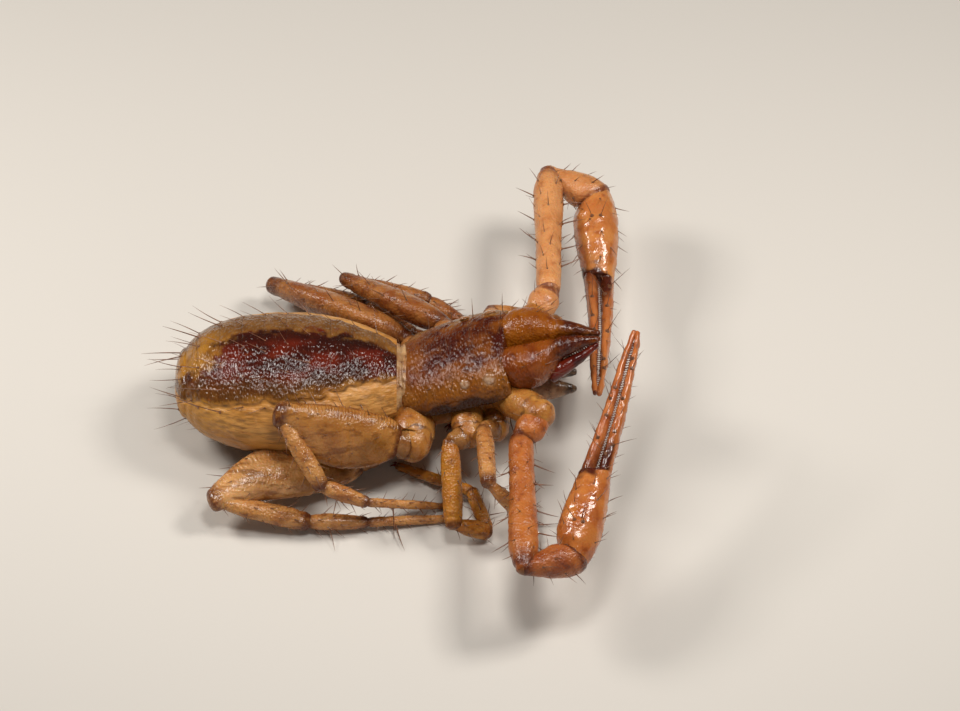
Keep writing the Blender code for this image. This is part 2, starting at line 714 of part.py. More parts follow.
def finish():
    """Centres the animal over the origin, turns millimetres into metres and smooths the shading."""
    everything = list(nodes.objects)
    points = np.array([vert.co[:] for obj in everything for vert in obj.data.vertices])
    low = points.min(axis=0)
    high = points.max(axis=0)
    middle = Vector(((low[0] + high[0]) / 2, (low[1] + high[1]) / 2, 0.0))
    for obj in everything:
        obj.data.transform(Matrix.Scale(METRES_PER_MM, 4) @ Matrix.Translation(-middle))
        for face in obj.data.polygons:
            face.use_smooth = True


abdomen = build_abdomen()
carapace = build_carapace()
coxae = build_coxae()
limbs = []
hips = []
for word, side in (("left", 1), ("right", -1)):
    for number in (1, 2, 3, 4):
        leg = build_leg(word, side, number)
        hips.append((leg[0][1], LEG_SIDES))
        limbs.append((leg, LEG_SIDES))
    palp = build_palp(word, side)
    hips.append((palp[0][1], PALP_SIDES))
    limbs.append((palp, PALP_SIDES))
carve(coxae, hips)
carve(abdomen, hips[2:4] + hips[7:9])
for chain, sides in limbs:
    for (obj, _), (_, stations) in zip(chain, chain[1:]):
        carve(obj, [(stations, sides)])
chelicerae = []
for word, side in (("left", 1), ("right", -1)):
    palm, finger = build_chelicera(word, side)
    carve(palm[0], [(finger[1], 12)])
    chelicerae.append(palm)
carve(carapace, [(chelicerae[0][1], 14), (chelicerae[1][1], 14)])
carve(coxae, [(chelicerae[0][1], 14), (chelicerae[1][1], 14)])
wide_abdomen = build_abdomen("wide_abdomen", 2 * JOINT_GAP, cutters)
boolean(carapace, "DIFFERENCE", [wide_abdomen])
boolean(coxae, "DIFFERENCE", [wide_abdomen])
bpy.data.objects.remove(wide_abdomen)
wide_carapace = build_carapace("wide_carapace", JOINT_GAP, cutters)
boolean(coxae, "DIFFERENCE", [wide_carapace])
bpy.data.objects.remove(wide_carapace)
for word, side in (("left", 1), ("right", -1)):
    for place, (share, angle, radius) in EYES.items():
        hole = socket_for_eye(share, angle, radius, side)
        boolean(carapace, "DIFFERENCE", [hole])
        bpy.data.objects.remove(hole)
        build_eye(f"eye_{place}_{word}", share, angle, radius, side)
for obj in list(nodes.objects):
    cut_feet(obj)
finish()
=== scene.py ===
# %% [markdown]
# # A pseudoscorpion at life size
#
# A pseudoscorpion is an arachnid two millimetres long, with a plated hind body, a shield over the head, eight legs
# and two long pincers. This lesson dresses a imported solid model of one in its real surfaces: glossy cuticle plates,
# soft wrinkled flanks, teeth, eyes and bristles. The solids fix where everything is. We first load them, and note the
# hind body's box.

# %% Load the imported model
import json
import math

import bpy
import numpy as np
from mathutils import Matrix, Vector

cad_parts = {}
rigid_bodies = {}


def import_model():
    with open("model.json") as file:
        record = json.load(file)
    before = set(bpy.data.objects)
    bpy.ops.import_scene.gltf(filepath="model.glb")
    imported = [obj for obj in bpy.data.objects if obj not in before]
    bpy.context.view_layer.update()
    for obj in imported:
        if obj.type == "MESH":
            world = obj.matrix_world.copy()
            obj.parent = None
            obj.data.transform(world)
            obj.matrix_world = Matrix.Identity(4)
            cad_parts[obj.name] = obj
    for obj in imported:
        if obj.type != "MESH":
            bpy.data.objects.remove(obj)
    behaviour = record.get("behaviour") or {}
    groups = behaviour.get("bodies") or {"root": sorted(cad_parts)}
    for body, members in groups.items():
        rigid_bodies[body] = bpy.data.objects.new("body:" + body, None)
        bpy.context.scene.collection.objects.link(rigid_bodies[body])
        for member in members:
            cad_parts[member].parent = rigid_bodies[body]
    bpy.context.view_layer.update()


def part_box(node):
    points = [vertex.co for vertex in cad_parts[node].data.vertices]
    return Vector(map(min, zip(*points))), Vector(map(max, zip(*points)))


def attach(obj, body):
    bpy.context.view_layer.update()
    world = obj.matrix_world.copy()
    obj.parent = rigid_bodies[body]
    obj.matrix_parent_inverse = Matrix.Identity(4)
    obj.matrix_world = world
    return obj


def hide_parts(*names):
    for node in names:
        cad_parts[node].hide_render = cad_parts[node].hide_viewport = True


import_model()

MM = 0.001

# %% [markdown]
# ## Working in millimetres
#
# The animal's sizes are easiest to read in millimetres, with the origin in the waist's plane of symmetry. The packed
# solids are in metres and centred on their box. The hind body is symmetric and ends in a known point, so its own box
# tells how far the origin moved, and every shape drawn below lands exactly on its solid.

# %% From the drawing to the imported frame
REAR_TIP = -0.941
rear_low, rear_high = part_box("abdomen")
MIDDLE = np.array([REAR_TIP - rear_low.x / MM, -(rear_low.y + rear_high.y) / 2 / MM, 0.0])


def to_frame(points):
    """Points drawn in millimetres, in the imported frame's metres, and never under the floor."""
    placed = (np.asarray(points, float) - MIDDLE) * MM
    placed[..., 2] = np.maximum(placed[..., 2], 0.0)
    return placed


print("the box is centred", np.round(MIDDLE, 4), "mm from the drawing's origin")

# %% [markdown]
# ## Smooth curves through short tables
#
# A limb's outline is given by a handful of widths. Straight lines between them would show as facets, so the widths
# are joined by a cubic curve. The slopes are limited so that the curve never swells past its table, which keeps the
# drawn skin inside the solid that it stands for.

# %% Smooth curves and slow waves
def eased(places, values, at):
    """Values at new places, on a smooth curve through a table that never overshoots it."""
    places = np.asarray(places, float)
    values = np.asarray(values, float)
    steps = np.diff(places)
    slopes = np.diff(values) / steps
    turns = np.zeros_like(values)
    before, after = slopes[:-1], slopes[1:]
    same = before * after > 0
    inner = np.zeros(len(before))
    inner[same] = 2 * before[same] * after[same] / (before[same] + after[same])
    turns[1:-1] = inner
    turns[0] = slopes[0]
    turns[-1] = slopes[-1]
    spot = np.clip(np.searchsorted(places, at) - 1, 0, len(steps) - 1)
    t = np.clip((at - places[spot]) / steps[spot], 0.0, 1.0)
    near = (1 + 2 * t) * (1 - t) ** 2 * values[spot] + t * (1 - t) ** 2 * steps[spot] * turns[spot]
    far = t * t * (3 - 2 * t) * values[spot + 1] + t * t * (t - 1) * steps[spot] * turns[spot + 1]
    return near + far


def between(low, high, values):
    """0 below low and 1 above high, with a soft step between."""
    t = np.clip((values - low) / (high - low), 0.0, 1.0)
    return t * t * (3 - 2 * t)


def bell(values, middle, width):
    """1 at the middle, falling smoothly to nothing on both sides of it."""
    return np.exp(-((values - middle) / width) ** 2)


def waves(points, size, seed):
    """A slow random field from -1 to 1 whose bumps are about size apart."""
    draw = np.random.default_rng(seed)
    ways = draw.normal(size=(14, 3))
    ways *= (2 * math.pi / size / np.linalg.norm(ways, axis=1) * draw.uniform(0.6, 1.4, 14))[:, None]
    shifts = draw.uniform(0, 2 * math.pi, 14)
    total = sum(np.sin(np.asarray(points) @ way + shift) for way, shift in zip(ways, shifts))
    return np.clip(total / 5.0, -1.0, 1.0)


# %% [markdown]
# ## One way to make every skin
#
# Each plate and segment is a closed skin drawn as rings of points around an axis. Rings are better here than a
# sculpted ball, because the real segments are tubes, and because each point then knows how far along the segment it
# lies. That number is kept on the mesh under the name "along", so that a finish can darken the joints.

# %% Rings into a closed skin
SKINS = {}


def put(name, data):
    """A new object in the scene."""
    made = bpy.data.objects.new(name, data)
    bpy.context.scene.collection.objects.link(made)
    return made


def keep(mesh, name, values):
    """Keeps a number or a vector on every point of a mesh."""
    values = np.asarray(values, np.float32)
    kind, word = ("FLOAT_VECTOR", "vector") if values.ndim > 1 else ("FLOAT", "value")
    mesh.attributes.new(name, kind, "POINT").data.foreach_set(word, values.reshape(-1))


def closed_skin(name, rings, first_tip, last_tip, marks):
    """A mesh through rings of points in millimetres, closed by a point at each end, with numbers kept on it."""
    rows, around, _ = rings.shape
    marks = {mark: np.broadcast_to(values, (rows, around)) for mark, values in marks.items()}
    inside_out = np.sum(ring_normals(rings) * (rings - rings.mean(axis=1, keepdims=True))) < 0
    if inside_out:
        rings = rings[:, ::-1]
        marks = {mark: values[:, ::-1] for mark, values in marks.items()}
    points = np.concatenate([rings.reshape(-1, 3), [first_tip], [last_tip]])
    row, column = np.meshgrid(np.arange(rows - 1), np.arange(around), indexing="ij")
    beside = (column + 1) % around
    quads = np.stack([row * around + column, row * around + beside, (row + 1) * around + beside,
                      (row + 1) * around + column], axis=-1).reshape(-1, 4)
    ring = np.arange(around)
    next_ring = (ring + 1) % around
    start = np.stack([next_ring, ring, np.full(around, rows * around)], axis=-1)
    stop = np.stack([ring, next_ring, np.full(around, rows * around + 1 - (rows - 1) * around)], axis=-1)
    stop = stop + (rows - 1) * around
    mesh = bpy.data.meshes.new(name)
    mesh.from_pydata(to_frame(points).tolist(), [], quads.tolist() + start.tolist() + stop.tolist())
    for mark, values in marks.items():
        keep(mesh, mark, np.concatenate([values.reshape(-1), [values[0].mean(), values[-1].mean()]]))
    mesh.shade_smooth()
    SKINS[name] = {"rings": rings, "outward": ring_normals(rings), "forward": unit(np.gradient(rings, axis=0)),
                   "share": marks["along"].mean(axis=1)}
    return put(name, mesh)


def unit(vectors):
    return vectors / np.maximum(np.linalg.norm(vectors, axis=-1, keepdims=True), 1e-12)


def ring_normals(rings):
    """The way out of the skin at every point of its rings."""
    side = np.roll(rings, -1, axis=1) - np.roll(rings, 1, axis=1)
    return unit(np.cross(side, np.gradient(rings, axis=0)))


# %% Sections into rings
AROUND = 44
DOME_TURNS = np.radians([78, 62, 46, 30, 15])
SIDES = (("left", 1), ("right", -1))


def grafted(old, new, end):
    """Rows with more rows put before their start, or after their end."""
    return np.concatenate([new, old] if end == 0 else [old, new])


def tube(name, sections, around=AROUND, step=0.0075, relief=None, dome=0.7, marks=None):
    """A limb's skin through sections of (centre, along, deep, half depth, half width), with domed ends."""
    centres = np.array([section[0] for section in sections], float)
    places = np.concatenate([[0.0], np.cumsum(np.linalg.norm(np.diff(centres, axis=0), axis=1))])
    count = max(10, int(places[-1] / step))
    at = np.linspace(0.0, places[-1], count)
    centre = np.stack([eased(places, centres[:, k], at) for k in range(3)], axis=-1)
    along = np.array([section[1] for section in sections], float)
    along = unit(np.stack([np.interp(at, places, along[:, k]) for k in range(3)], axis=-1))
    deep = np.array([section[2] for section in sections], float)
    deep = np.stack([np.interp(at, places, deep[:, k]) for k in range(3)], axis=-1)
    half_deep = eased(places, [section[3] for section in sections], at)
    half_wide = eased(places, [section[4] for section in sections], at)
    share = at / places[-1]
    for end, order, sign in ((0, DOME_TURNS, -1.0), (-1, DOME_TURNS[::-1], 1.0)):
        size = min(half_deep[end], half_wide[end]) * dome
        extra = [centre[end] + along[end] * sign * size * math.sin(turn) for turn in order]
        centre = grafted(centre, np.array(extra), end)
        half_deep = grafted(half_deep, half_deep[end] * np.cos(order), end)
        half_wide = grafted(half_wide, half_wide[end] * np.cos(order), end)
        along = grafted(along, np.repeat(along[end][None], len(order), axis=0), end)
        deep = grafted(deep, np.repeat(deep[end][None], len(order), axis=0), end)
        share = grafted(share, np.full(len(order), share[end]), end)
    up = unit(deep - along * np.sum(deep * along, axis=1, keepdims=True))
    across = np.cross(along, up)
    angle = 2 * np.pi * np.arange(around) / around
    out = up[:, None] * np.cos(angle)[None, :, None] * half_deep[:, None, None]
    out = out + across[:, None] * np.sin(angle)[None, :, None] * half_wide[:, None, None]
    rings = centre[:, None] + out
    spread = np.repeat(share[:, None], around, axis=1)
    if relief is not None:
        rings = rings + unit(out) * relief(spread, np.repeat(angle[None], len(share), axis=0), rings)[..., None]
    first = centre[0] - along[0] * min(half_deep[0], half_wide[0]) * 0.3 * dome
    last = centre[-1] + along[-1] * min(half_deep[-1], half_wide[-1]) * 0.3 * dome
    kept = {"along": spread, "back": np.repeat(np.cos(angle)[None], len(share), axis=0)}
    kept.update(marks(spread, rings) if marks else {})
    return closed_skin(name, rings, first, last, kept)


def heading(yaw, pitch, side):
    """A unit vector from a turn away from straight ahead, on the limb's own side, and a rise."""
    turn, rise = math.radians(yaw), math.radians(pitch)
    return np.array([math.cos(rise) * math.cos(turn), side * math.cos(rise) * math.sin(turn), math.sin(rise)])


def on_side(place, side):
    """A place on the left, given as a tuple, or its mirror image on the right."""
    return np.array([place[0], side * place[1], place[2]])


def chained(hip, side, lengths, ways):
    """The joints of a limb, one after the other from its hip."""
    joints = [on_side(hip, side)]
    for length, way in zip(lengths, ways):
        joints.append(joints[-1] + way * length)
    return joints


def profiled(start, along, deep, length, profile, thickness):
    """Sections of one limb segment from its profile: (share, depth, width, shift to the back)."""
    up = unit(np.asarray(deep, float) - along * np.dot(deep, along))
    out = []
    for share, deep_share, wide_share, shift in profile:
        centre = start + along * length * share + up * shift * thickness[0] * 2
        out.append((centre, along, deep, thickness[0] * deep_share, thickness[1] * wide_share))
    return out


def dress(piece, finish, *nodes, slot=None):
    """Gives a piece its finish, and lets it ride on the body and stand for its solids."""
    piece.data.materials.clear()
    piece.data.materials.append(finish)
    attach(piece, "root")
    if nodes:
        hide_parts(*nodes)


# %% [markdown]
# ## Finishes
#
# Cuticle is a hard, clear varnish over coloured, slightly see-through flesh. Each finish is therefore one glossy
# shader with a thin clear coat and a little light let in under the surface. Its colour drifts between two tones over
# a tenth of a millimetre, as the flesh inside shows through, and its surface carries the fine net of low cells, a
# hundredth of a millimetre across, that breaks the highlights of the lamps into glitter.

# %% Small helpers for node trees
def add_node(tree, kind, **settings):
    made = tree.nodes.new(kind)
    for key, value in settings.items():
        setattr(made, key, value)
    return made


def feed(tree, source, target):
    """Joins two sockets, or writes a plain value into the second one."""
    if isinstance(source, bpy.types.NodeSocket):
        tree.links.new(source, target)
    else:
        target.default_value = source


def math_of(tree, operation, first, second=0.0):
    step = add_node(tree, "ShaderNodeMath", operation=operation)
    feed(tree, first, step.inputs[0])
    feed(tree, second, step.inputs[1])
    return step.outputs[0]


def times(tree, first, second):
    return math_of(tree, "MULTIPLY", first, second)


def plus(tree, first, second):
    return math_of(tree, "ADD", first, second)


def apart(tree, first, second):
    """How far two numbers are from each other."""
    return math_of(tree, "ABSOLUTE", math_of(tree, "SUBTRACT", first, second))


def blend_of(tree, share, first, second):
    step = add_node(tree, "ShaderNodeMix", data_type="RGBA")
    feed(tree, share, step.inputs["Factor"])
    feed(tree, first, step.inputs[6])
    feed(tree, second, step.inputs[7])
    return step.outputs[2]


def ranged(tree, value, low, high, to_low=0.0, to_high=1.0):
    step = add_node(tree, "ShaderNodeMapRange", interpolation_type="SMOOTHSTEP")
    feed(tree, value, step.inputs["Value"])
    for word, number in (("From Min", low), ("From Max", high), ("To Min", to_low), ("To Max", to_high)):
        step.inputs[word].default_value = number
    return step.outputs["Result"]


def mark_of(tree, name):
    return add_node(tree, "ShaderNodeAttribute", attribute_name=name).outputs["Fac"]


def noise_of(tree, size_mm, detail=2.0, stretch=None):
    """A soft noise whose patches are about size_mm across, as one number from 0 to 1."""
    place = add_node(tree, "ShaderNodeTexCoord").outputs["Object"]
    if stretch:
        turn = add_node(tree, "ShaderNodeMapping")
        turn.inputs["Scale"].default_value = stretch
        feed(tree, place, turn.inputs["Vector"])
        place = turn.outputs["Vector"]
    grain = add_node(tree, "ShaderNodeTexNoise")
    feed(tree, place, grain.inputs["Vector"])
    grain.inputs["Scale"].default_value = 1 / (size_mm * MM)
    grain.inputs["Detail"].default_value = detail
    return grain.outputs["Fac"]


def marked(tree, name, low, high, to_low=0.0, to_high=1.0):
    """One of the skin's marks, stepping softly from to_low to to_high between low and high."""
    return ranged(tree, mark_of(tree, name), low, high, to_low, to_high)


def patches(tree, size_mm, detail, low, high, to_low=0.0, to_high=1.0):
    """The soft noise, stepping in the same way."""
    return ranged(tree, noise_of(tree, size_mm, detail), low, high, to_low, to_high)


def cells_of(tree, size_mm, stretch=(1.0, 1.0, 1.0)):
    """The net of low cells on cuticle: 0 in the grooves and 1 on each cell."""
    place = add_node(tree, "ShaderNodeTexCoord").outputs["Object"]
    turn = add_node(tree, "ShaderNodeMapping")
    turn.inputs["Scale"].default_value = stretch
    feed(tree, place, turn.inputs["Vector"])
    net = add_node(tree, "ShaderNodeTexVoronoi", feature="SMOOTH_F1")
    feed(tree, turn.outputs["Vector"], net.inputs["Vector"])
    net.inputs["Scale"].default_value = 1 / (size_mm * MM)
    net.inputs["Smoothness"].default_value = 0.4
    return ranged(tree, net.outputs["Distance"], 0.75, 0.1)


def new_finish(name):
    """A new finish, its node tree and the shader in it."""
    made = bpy.data.materials.new(name)
    made.use_nodes = True
    return made, made.node_tree, made.node_tree.nodes["Principled BSDF"]


def altered(base, name):
    """A copy of a finish, its node tree, its shader and the socket that colours it."""
    made = base.copy()
    made.name = name
    shader = made.node_tree.nodes["Principled BSDF"]
    return made, made.node_tree, shader, shader.inputs["Base Color"].links[0].from_socket


def raised(tree, height, depth_mm, shader):
    """Turns a height into a bump of the shader's surface."""
    bump = add_node(tree, "ShaderNodeBump")
    settle(bump, Strength=1.0, Distance=depth_mm * MM)
    feed(tree, height, bump.inputs["Height"])
    feed(tree, bump.outputs["Normal"], shader.inputs["Normal"])


def settle(node, **values):
    """Writes values to a node's inputs, with an underscore for each blank in a name."""
    for name, value in values.items():
        node.inputs[name.replace("_", " ")].default_value = value


# %% The cuticle finish
SHINE = 0.36
FLESH_RED = (1.0, 0.42, 0.16)
SEAM_DARK = (0.045, 0.009, 0.003, 1.0)
GUT_AMBER = (0.22, 0.080, 0.008, 1.0)


def cuticle(name, pale, rich, dark, joint=None, gloss=0.30, cell=0.011, relief=0.0011, glow=0.25, patch=0.09,
            joint_ends=(0.10, 0.90), coat=0.12, polish=0.10, stripe=0.0, stretch=(1.0, 1.0, 1.0), bars=0,
            fade=None, arc=None, wrinkle=0.0, strip=0.60, shine=SHINE):
    """Glossy cuticle: two drifting tones, dark patches, darker joints, a net of fine cells and bars on the back."""
    made, tree, shader = new_finish(name)
    drift = patches(tree, patch, 3.0, 0.36, 0.64)
    colour = blend_of(tree, drift, (*pale, 1.0), (*rich, 1.0))
    blotch = patches(tree, patch * 0.5, 4.0, 0.56, 0.74, 0.0, 0.75)
    colour = blend_of(tree, blotch, colour, (*dark, 1.0))
    if stripe:
        fibre = ranged(tree, noise_of(tree, 0.05, 2.0, (0.25, 1.0, 1.0)), 0.42, 0.6, 0.0, stripe)
        colour = blend_of(tree, fibre, colour, (*pale, 1.0))
        muscle = ranged(tree, noise_of(tree, 0.022, 4.0, (0.22, 1.0, 1.0)), 0.50, 0.66, 0.0, stripe)
        colour = blend_of(tree, muscle, colour, (*dark, 1.0))
    if joint:
        along = mark_of(tree, "along")
        base = ranged(tree, along, joint_ends[0], 0.0, 0.0, 0.88)
        tip = ranged(tree, along, joint_ends[1], joint_ends[1] + fade if fade else 1.0, 0.0, 0.88)
        ends = math_of(tree, "MAXIMUM", base, tip)
        ends = times(tree, ends, patches(tree, 0.03, 3.0, 0.25, 0.6, 0.35, 1.0))
        colour = blend_of(tree, ends, colour, (*joint, 1.0))
    if bars:
        hem = times(tree, marked(tree, "back", 0.93, 1.0, 0.0, 0.8), patches(tree, 0.06, 3.0, 0.30, 0.55))
        colour = blend_of(tree, hem, colour, (*dark, 1.0))
        lower = times(tree, marked(tree, "back", 0.45, 0.05), marked(tree, "back", -0.95, -0.55))
        inside = times(tree, marked(tree, "along", 0.42, 0.24), marked(tree, "along", 0.03, 0.12))
        inside = times(tree, times(tree, inside, lower), patches(tree, 0.07, 4.0, 0.35, 0.60, 0.35, 1.0))
        colour = blend_of(tree, inside, colour, GUT_AMBER)
    if arc:
        place = plus(tree, mark_of(tree, "along"), patches(tree, 0.05, 2.0, 0.3, 0.7, -0.05, 0.05))
        line = ranged(tree, apart(tree, place, arc), 0.045, 0.012, 0.0, 0.85)
        line = times(tree, line, patches(tree, 0.06, 2.0, 0.35, 0.60, 0.35, 0.8))
        colour = blend_of(tree, line, colour, SEAM_DARK)
    feed(tree, colour, shader.inputs["Base Color"])
    net = cells_of(tree, cell, stretch)
    grain = noise_of(tree, cell * 0.45, 2.0)
    height = plus(tree, net, times(tree, grain, 0.5))
    if bars:
        wobble = times(tree, noise_of(tree, 0.05, 2.0), 9.0)
        turn = plus(tree, times(tree, mark_of(tree, "along"), bars * 2 * math.pi), wobble)
        ribs = times(tree, marked(tree, "back", strip, strip + 0.20, 0.0, 1.5), marked(tree, "back", 0.995, 0.95))
        ribs = times(tree, ribs, patches(tree, 0.09, 3.0, 0.34, 0.54, 0.25, 1.0))
        height = plus(tree, height, times(tree, math_of(tree, "SINE", turn), ribs))
    if wrinkle:
        height = plus(tree, height, times(tree, noise_of(tree, 0.035, 3.0, (0.22, 1.5, 0.8)), wrinkle))
    raised(tree, height, relief, shader)
    feed(tree, patches(tree, 0.05, 3.0, 0.3, 0.7, gloss - 0.06, gloss + 0.08), shader.inputs["Roughness"])
    settle(shader, Subsurface_Weight=glow, Subsurface_Radius=FLESH_RED, Subsurface_Scale=0.03 * MM,
           Specular_IOR_Level=shine, Coat_Weight=coat, Coat_Roughness=polish)
    return made


ACROSS = (1.0, 0.55, 0.65)
LEG_FINISH = cuticle("leg cuticle", (0.52, 0.240, 0.072), (0.38, 0.142, 0.034), (0.16, 0.042, 0.009),
                     joint=(0.070, 0.011, 0.004), stripe=0.5, joint_ends=(0.16, 0.84), relief=0.0020, gloss=0.24)
THIGH_FINISH = cuticle("thigh cuticle", (0.41, 0.175, 0.040), (0.30, 0.108, 0.019), (0.15, 0.044, 0.007),
                       joint=(0.070, 0.010, 0.004), glow=0.4, stripe=0.7, joint_ends=(0.04, 0.91), bars=36, patch=0.12,
                       gloss=0.20)
# A copy of the thigh cuticle painted lighter for the near hind thigh: painted light that offsets the body's shade on
# it.
THIGH_PAINTED_LIGHT = cuticle("thigh cuticle pale", (0.62, 0.320, 0.120), (0.46, 0.200, 0.055), (0.22, 0.075, 0.016),
                     joint=(0.090, 0.016, 0.005), glow=0.4, stripe=0.7, joint_ends=(0.04, 0.93), bars=30, patch=0.12,
                     gloss=0.20, strip=0.35)
KNOB_FINISH = cuticle("trochanter cuticle", (0.29, 0.125, 0.032), (0.21, 0.076, 0.016), (0.11, 0.030, 0.006),
                      patch=0.06, arc=0.62, gloss=0.26)
PALP_FINISH = cuticle("palp cuticle", (0.62, 0.275, 0.100), (0.52, 0.205, 0.066), (0.34, 0.105, 0.028),
                      joint=(0.13, 0.022, 0.007), glow=0.35, joint_ends=(0.002, 0.90), relief=0.0014, wrinkle=1.6)
HAND_FINISH = cuticle("pincer hand cuticle", (0.58, 0.225, 0.058), (0.47, 0.150, 0.035), (0.30, 0.076, 0.016),
                      glow=0.35, gloss=0.20, relief=0.0008, coat=0.5, polish=0.06)
FINGER_FINISH = cuticle("pincer finger cuticle", (0.50, 0.165, 0.045), (0.38, 0.100, 0.025), (0.20, 0.036, 0.009),
                        joint=(0.085, 0.008, 0.003), joint_ends=(0.27, 0.999), gloss=0.18, coat=0.35, polish=0.06,
                        relief=0.0008)
SHIELD_FINISH = cuticle("carapace cuticle", (0.22, 0.060, 0.0050), (0.135, 0.026, 0.0025), (0.065, 0.008, 0.0018),
                        gloss=0.12, relief=0.0034, glow=0.0, patch=0.08, cell=0.0115, coat=0.0, stretch=ACROSS,
                        shine=0.45)
CHELICERA_FINISH = cuticle("chelicera cuticle", (0.23, 0.055, 0.004), (0.16, 0.030, 0.003), (0.09, 0.012, 0.002),
                           joint=(0.038, 0.003, 0.0015), joint_ends=(0.002, 0.46), fade=0.14, gloss=0.16,
                           relief=0.0026, stretch=ACROSS)
CHELICERA_FAR = cuticle("chelicera cuticle bright", (0.27, 0.076, 0.004), (0.20, 0.046, 0.003), (0.11, 0.018, 0.002),
                        joint=(0.038, 0.003, 0.0015), joint_ends=(0.002, 0.56), fade=0.16, gloss=0.18, relief=0.0016)
CLAW_FINISH = cuticle("chelicera finger cuticle", (0.13, 0.012, 0.004), (0.065, 0.005, 0.003), (0.03, 0.003, 0.002),
                      gloss=0.14, relief=0.0006, glow=0.15)
COXA_FINISH = cuticle("coxa cuticle", (0.43, 0.185, 0.038), (0.33, 0.115, 0.019), (0.14, 0.036, 0.006), patch=0.07,
                      arc=0.86, glow=0.35)
MOUTH_FINISH = cuticle("mouth lobe cuticle", (0.42, 0.23, 0.11), (0.26, 0.12, 0.05), (0.10, 0.04, 0.02),
                       joint=(0.010, 0.005, 0.004), joint_ends=(0.002, 0.72), fade=0.2, patch=0.04)
MEMBRANE_FINISH = cuticle("joint membrane", (0.22, 0.080, 0.022), (0.14, 0.040, 0.010), (0.07, 0.016, 0.005),
                          gloss=0.36, coat=0.2)
COLLAR_FINISH = cuticle("waist membrane", (0.50, 0.300, 0.140), (0.30, 0.130, 0.045), (0.07, 0.014, 0.004),
                        gloss=0.26, coat=0.2, patch=0.05)
print("finishes:", len(bpy.data.materials))

# %% [markdown]
# ## The hind body
#
# The abdomen is ten overlapping back plates and ten belly plates, joined along each flank by a soft, finely pleated
# membrane, so that it can swell with food or eggs. It is one skin here. The rings run from the rear to the waist, and
# the plates, the grooves between them and the pleats are a relief on those rings, deep enough to catch the light by
# themselves. A second number on each point says how dark the flesh under the plates is.

# %% Abdomen
ABDOMEN = ((-0.941, 0.000, 0.245, 0.000), (-0.925, 0.100, 0.250, 0.078), (-0.895, 0.160, 0.256, 0.125),
           (-0.840, 0.222, 0.260, 0.174), (-0.760, 0.272, 0.260, 0.210), (-0.630, 0.310, 0.258, 0.244),
           (-0.440, 0.321, 0.258, 0.254), (-0.250, 0.288, 0.268, 0.232), (-0.100, 0.228, 0.276, 0.186),
           (-0.012, 0.186, 0.280, 0.142))
SEGMENTS = 10
# The rear end is rounded off over this share of the length.
NOSE = 0.050
# How far the back plates reach down each flank, in degrees, at shares of the abdomen's length from the rear.
BACK_REACH = ((0.0, 0.25, 0.6, 1.0), (62.0, 52.0, 45.0, 32.0))
BELLY_REACH = 64.0


